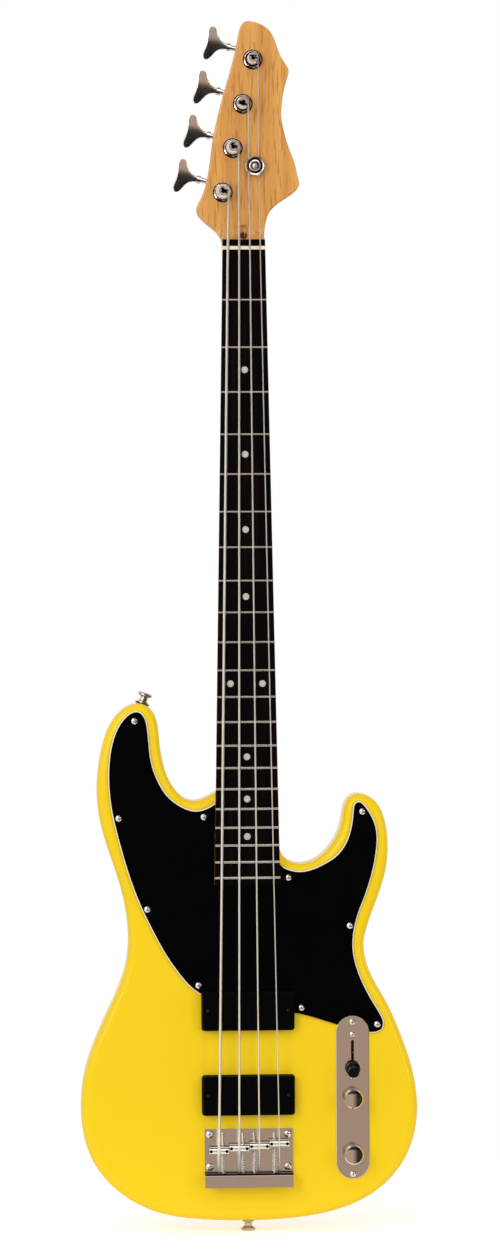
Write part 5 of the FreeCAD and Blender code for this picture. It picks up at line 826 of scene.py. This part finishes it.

# %% [markdown]
# The strings are steel cores wound with round wire. Each is a tube along its real route: out of its ball
# end, over the saddle and the nut, under the guide where it has one, and round the post. The length along
# the string is kept as an attribute, so that the winding's ridges follow every bend. The tube is cut into
# three lengths, on the saddle's crest and where it meets the post.

# %% What the strings run over
GAUGE = {"e": 2.67, "a": 2.16, "d": 1.65, "g": 1.14}
STRING_GAP = 0.12
NUT_SPREAD = 31.2
BOARD_RADIUS = 305.0
BOARD_TOP = 9.5
HEAD_FACE = -2.0
WASHER_THICKNESS = 1.2
BUSHING_HEIGHT = 3.4
FLANGE_HEIGHT = 1.2
POST_FLOOR = HEAD_FACE + WASHER_THICKNESS + BUSHING_HEIGHT + FLANGE_HEIGHT
nut_gap = (NUT_SPREAD - sum(GAUGE.values()) + (GAUGE["e"] + GAUGE["g"]) / 2) / 3
nut_x = {"e": -NUT_SPREAD / 2}
for first, second in zip(STRINGS, STRINGS[1:]):
    nut_x[second] = nut_x[first] + GAUGE[first] / 2 + nut_gap + GAUGE[second] / 2
post = {n: Vector((ROW_START[0] + row.x * ROW_STEP * i, ROW_START[1] + row.y * ROW_STEP * i, 0))
        for i, n in enumerate(STRINGS)}
print("gap between strings at the nut", round(nut_gap, 2), "mm")


def board_height(x):
    """Height of the fingerboard's crowned face."""
    return BOARD_TOP - BOARD_RADIUS + math.sqrt(BOARD_RADIUS ** 2 - x * x)


# %% From ball end to headstock
WALL_BACK = 46.0
BALL_GAP = 0.05
BALL_HEIGHT = 8.3
SADDLE_RISE = 5.0
SADDLE_BEND = 3.8
NUT_CREST = 1.7
NUT_RISE = 1.6
NUT_BEND = 24.0
GUIDE_HEIGHT = 6.0
GUIDE_THICKNESS = 2.6
GUIDE_UNDER = HEAD_FACE + GUIDE_HEIGHT - GUIDE_THICKNESS
GUIDE_DIP = 1.2
GUIDE_BEND = 40.0
GUIDED = "dg"
BEND_STEPS = 8


def rounded(points, radii):
    """Points of a route whose corners are rounded."""
    route = [points[0]]
    for before, corner, after, radius in zip(points, points[1:], points[2:], radii):
        a = (corner - before).normalized()
        b = (after - corner).normalized()
        reach = radius * math.tan(a.angle(b) / 2)
        start = corner - a * reach
        end = corner + b * reach
        for i in range(BEND_STEPS + 1):
            t = i / BEND_STEPS
            route.append(start * (1 - t) ** 2 + corner * 2 * t * (1 - t) + end * t * t)
    return route + [points[-1]]


def rests(n, radius):
    """Where a string bends on its way to the post, and how tightly it bends there."""
    half = GAUGE[n] / 2
    ball = Vector((saddle_x[n], WALL_BACK + BALL_GAP + half / 2, BALL_HEIGHT))
    over = Vector((saddle_x[n], saddle_y[n], board_height(saddle_x[n]) + SADDLE_RISE + half + STRING_GAP))
    nut = Vector((nut_x[n], NUT_Y + NUT_CREST, board_height(nut_x[n]) + NUT_RISE + half + STRING_GAP))
    points = [ball, over, nut]
    radii = [SADDLE_BEND + half, NUT_BEND]
    if n in GUIDED:
        share = (GUIDE_Y - nut.y) / (post[n].y - nut.y)
        points.append(Vector((nut.x + (post[n].x + radius - nut.x) * share, GUIDE_Y,
                              GUIDE_UNDER - half - STRING_GAP - GUIDE_DIP)))
        radii.append(GUIDE_BEND)
    return points, radii


# %% Round the post
TURNS = {"e": 2, "a": 2, "d": 2.5, "g": 3}
TURN_STEPS = 24
WIND_GAP = 0.7
POST_WAIST = 4.4
RUN_IN = 12.0
RUN_IN_STEPS = 10
TUCK_STEPS = 6
TUCK_LEAD = 0.5
TUCK_RISE = 0.25
TUCK_DEPTH = 0.8


def wrapped(n, contact, radius, low, rise):
    """Points round a post from the contact on, up to the end that is tucked into the post."""
    route = []
    begin = math.atan2(contact.y - post[n].y, contact.x - post[n].x)
    steps = int(TURNS[n] * TURN_STEPS)
    for i in range(steps + 1):
        turned = TURNS[n] * 2 * math.pi * i / steps
        route.append(Vector((post[n].x + radius * math.cos(begin + turned),
                             post[n].y + radius * math.sin(begin + turned), low + rise * radius * turned)))
    end = route[-1]
    inward = Vector((post[n].x - end.x, post[n].y - end.y, 0)).normalized()
    ahead = Vector((inward.y, -inward.x, 0))
    bend = GAUGE[n] / 2 + WIND_GAP
    lead = end + ahead * bend * TUCK_LEAD + Vector((0, 0, rise * bend * TUCK_RISE))
    for i in range(TUCK_STEPS + 1):
        angle = math.pi / 2 * i / TUCK_STEPS
        route.append(lead + ahead * bend * math.sin(angle) + inward * bend * (1 - math.cos(angle)))
    route.append(route[-1] + inward * (radius - bend) * TUCK_DEPTH)
    return route


def string_route(n):
    """Bench points along one string, from its ball end to the inside of its post, and which of them is
    the contact with the post."""
    radius = POST_WAIST + STRING_GAP + GAUGE[n] / 2
    low = POST_FLOOR + STRING_GAP + GAUGE[n] / 2
    rise = (GAUGE[n] + WIND_GAP) / (2 * math.pi * radius)
    points, radii = rests(n, radius)
    last = points[-1]
    flat = Vector((post[n].x - last.x, post[n].y - last.y))
    reach = math.sqrt(flat.length ** 2 - radius ** 2)
    lean = math.asin(radius / flat.length)
    way = flat.normalized()
    heading = Vector((way.x * math.cos(lean) + way.y * math.sin(lean),
                      way.y * math.cos(lean) - way.x * math.sin(lean), 0))
    contact = Vector((last.x, last.y, 0)) + heading * reach
    contact.z = low
    start = contact - heading * RUN_IN
    start.z = last.z + (low - last.z) * (reach - RUN_IN) / reach
    route = rounded(points + [start], radii)
    arrive = start + (start - last).normalized() * RUN_IN / 3
    leave = contact - Vector((heading.x, heading.y, rise)).normalized() * RUN_IN / 3
    for i in range(1, RUN_IN_STEPS):
        t = i / RUN_IN_STEPS
        route.append(start * (1 - t) ** 3 + arrive * 3 * t * (1 - t) ** 2 + leave * 3 * t * t * (1 - t)
                     + contact * t ** 3)
    return route + wrapped(n, contact, radius, low, rise), len(route)


# %% Tube and ball end
STRING_SIDES = 14
BALL_RADIUS = 2.5
BALL_LENGTH = 5.0
BALL_SIDES = 24
BALL_PROFILE = ((0, 0.0), (0, 0.72), (0.06, 0.92), (0.16, 1.0), (0.34, 0.86), (0.66, 0.86), (0.84, 1.0),
                (0.94, 0.92), (1, 0.72), (1, 0.0))


def tube(shape, route, radius, first, last):
    """A closed tube along a stretch of a route of scene points, with the length along it as an attribute."""
    along = shape.verts.layers.float.new("along")
    travelled = 0.0
    ways = [(b - a).normalized() for a, b in zip(route, route[1:])]
    ways = [ways[0]] + [(a + b).normalized() for a, b in zip(ways, ways[1:])] + [ways[-1]]
    side = ways[0].orthogonal().normalized()
    rings = []
    for i, (spot, way) in enumerate(zip(route, ways)):
        if i:
            side = ways[i - 1].rotation_difference(way) @ side
            travelled += (spot - route[i - 1]).length
        side = (side - way * side.dot(way)).normalized()
        if not first <= i <= last:
            continue
        other = way.cross(side)
        ring = []
        for k in range(STRING_SIDES):
            angle = 2 * math.pi * k / STRING_SIDES
            vert = shape.verts.new(spot + (side * math.cos(angle) + other * math.sin(angle)) * radius)
            vert[along] = travelled
            ring.append(vert)
        rings.append(ring)
    for a, b in zip(rings, rings[1:]):
        for k in range(STRING_SIDES):
            ahead = (k + 1) % STRING_SIDES
            face = shape.faces.new((a[k], a[ahead], b[ahead], b[k]))
            face.smooth = True
    shape.faces.new(list(reversed(rings[0])))
    shape.faces.new(rings[-1])


def ball_end(shape, centre):
    """A barrel with rounded rims, added across x."""
    rings = []
    for share, wide in BALL_PROFILE:
        x = centre.x + (share - 0.5) * BALL_LENGTH * MM
        ring = []
        for k in range(BALL_SIDES if wide else 1):
            angle = 2 * math.pi * k / BALL_SIDES
            ring.append(shape.verts.new((x, centre.y + BALL_RADIUS * MM * wide * math.cos(angle),
                                         centre.z + BALL_RADIUS * MM * wide * math.sin(angle))))
        rings.append(ring)
    for a, b in zip(rings, rings[1:]):
        for k in range(BALL_SIDES):
            corners = [a[k % len(a)], b[k % len(b)], b[(k + 1) % len(b)], a[(k + 1) % len(a)]]
            face = shape.faces.new(list(dict.fromkeys(corners)))
            face.smooth = True


# %% Wound strings
RIDGE_PITCH = 0.42 * MM
CREST_POINT = 5
WALL_CLEAR = 49.0
SADDLE_HALF = 4.6
SPAN_END = 900.0
wound = Finish("wound_string", base_color=(0.98, 0.94, 0.87), metallic=1.0)
length = wound.node("ShaderNodeAttribute", {"attribute_name": "along"}, output="Fac")
ridges = (length * (2 * math.pi / RIDGE_PITCH)).math("SINE")
wound.set("Roughness", 0.36 + 0.10 * wound.cloud(300.0))
wound.bump(ridges, strength=0.5, depth=0.2 * MM)


def string_piece(n, part, route, first, last, ball=False):
    """One length of a string as a piece of the bass."""
    shape = bmesh.new()
    tube(shape, route, GAUGE[n] / 2 * MM, first, last)
    if ball:
        ball_end(shape, stand(saddle_x[n], WALL_BACK - BALL_RADIUS, BALL_HEIGHT))
    bmesh.ops.recalc_face_normals(shape, faces=shape.faces)
    mesh = bpy.data.meshes.new("string_%s_%s" % (n, part))
    shape.to_mesh(mesh)
    shape.free()
    mesh.materials.append(wound.material)
    piece = show(mesh.name, mesh)
    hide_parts("string_" + n)
    return piece


for n in STRINGS:
    bench, meets = string_route(n)
    points = [stand(*p) for p in bench]
    half = GAUGE[n] / 2
    tail = string_piece(n, "tail", points, 0, CREST_POINT, ball=True)
    stand(saddle_x[n], WALL_CLEAR, 0)
    stand(saddle_x[n], saddle_y[n] - SADDLE_HALF, 0)
    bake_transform(tail)
    span = string_piece(n, "span", points, CREST_POINT, meets)
    stand(0, saddle_y[n] + SADDLE_HALF, 0)
    stand(0, SPAN_END, 0)
    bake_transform(span)
    coil = string_piece(n, "winding", points, meets, len(points) - 1)
    stand(0, 0, bench[meets].z + half)
    stand(0, 0, bench[-1].z - half)
    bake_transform(coil)
    print("string", n, "points", len(points))

# %% [markdown]
# Each intonation screw carries a spring. A spiral is exactly what Geometry Nodes draw from a few numbers, so
# one tree makes all four: a spiral of a given height, swept by a small circle. A spring stands on the bridge
# wall at one end and reaches its saddle at the other.

# %% A tree that coils a spring
SPIRAL_STEPS = 28
WIRE_SIDES = 10
SPRING_SIZES = {"Turns": 8.0, "Radius": 2.0 * MM, "Height": 15.0 * MM, "Wire": 0.35 * MM}
tree = bpy.data.node_groups.new("spring_coil", "GeometryNodeTree")
tree.interface.new_socket("Geometry", in_out="OUTPUT", socket_type="NodeSocketGeometry")
spring_input = {}
for label, value in SPRING_SIZES.items():
    spring_input[label] = tree.interface.new_socket(label, in_out="INPUT", socket_type="NodeSocketFloat")
    spring_input[label].default_value = value
spring_input["Finish"] = tree.interface.new_socket("Finish", in_out="INPUT", socket_type="NodeSocketMaterial")
coiling = Board(tree)
given = {label: coiling.node("NodeGroupInput", output=label) for label in spring_input}
spiral = coiling.node("GeometryNodeCurveSpiral", None, {
    "Resolution": SPIRAL_STEPS, "Rotations": given["Turns"], "Start Radius": given["Radius"],
    "End Radius": given["Radius"], "Height": given["Height"]})
ring = coiling.node("GeometryNodeCurvePrimitiveCircle", None, {
    "Resolution": WIRE_SIDES, "Radius": given["Wire"]})
sweep = coiling.node("GeometryNodeCurveToMesh", None, {
    "Curve": spiral, "Profile Curve": ring, "Fill Caps": True})
soft = coiling.node("GeometryNodeSetShadeSmooth", None, {0: sweep})
real = coiling.node("GeometryNodeRealizeInstances", None, {0: soft})
coat = coiling.node("GeometryNodeSetMaterial", None, {"Geometry": real, "Material": given["Finish"]})
coiling.node("NodeGroupOutput", None, {0: coat}, None)
print("spring tree nodes", len(tree.nodes))

# %% Springs
SCREW_INSET = 4.3
SCREW_HEIGHT = 5.0
WALL_FRONT = 48.0
SADDLE_BACK = 3.8
SPRING_GAP = 0.4
spring_steel = plated("spring_steel", (0.93, 0.90, 0.84), 0.26, 0.10, 300.0)
for n in STRINGS:
    screw_x = saddle_x[n] + (SCREW_INSET if saddle_x[n] < 0 else -SCREW_INSET)
    low = WALL_FRONT + SPRING_GAP
    high = saddle_y[n] - SADDLE_BACK - SPRING_GAP
    seed = show("coil_seed", bpy.data.meshes.new("coil_seed"))
    maker = seed.modifiers.new("coil", "NODES")
    maker.node_group = tree
    maker[spring_input["Height"].identifier] = (high - low) * MM
    maker[spring_input["Finish"].identifier] = spring_steel.material
    shape = bpy.data.meshes.new_from_object(seed.evaluated_get(bpy.context.evaluated_depsgraph_get()))
    shape.transform(Matrix.Translation(stand(screw_x, low, SCREW_HEIGHT)))
    bpy.data.objects.remove(seed)
    shape.name = "intonation_spring_%s_coil" % n
    spring = show(shape.name, shape)
    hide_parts("intonation_springs")
    stand(screw_x, low, 0)
    stand(screw_x, high, 0)
    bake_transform(spring)
    print("spring", n, "faces", len(shape.polygons))
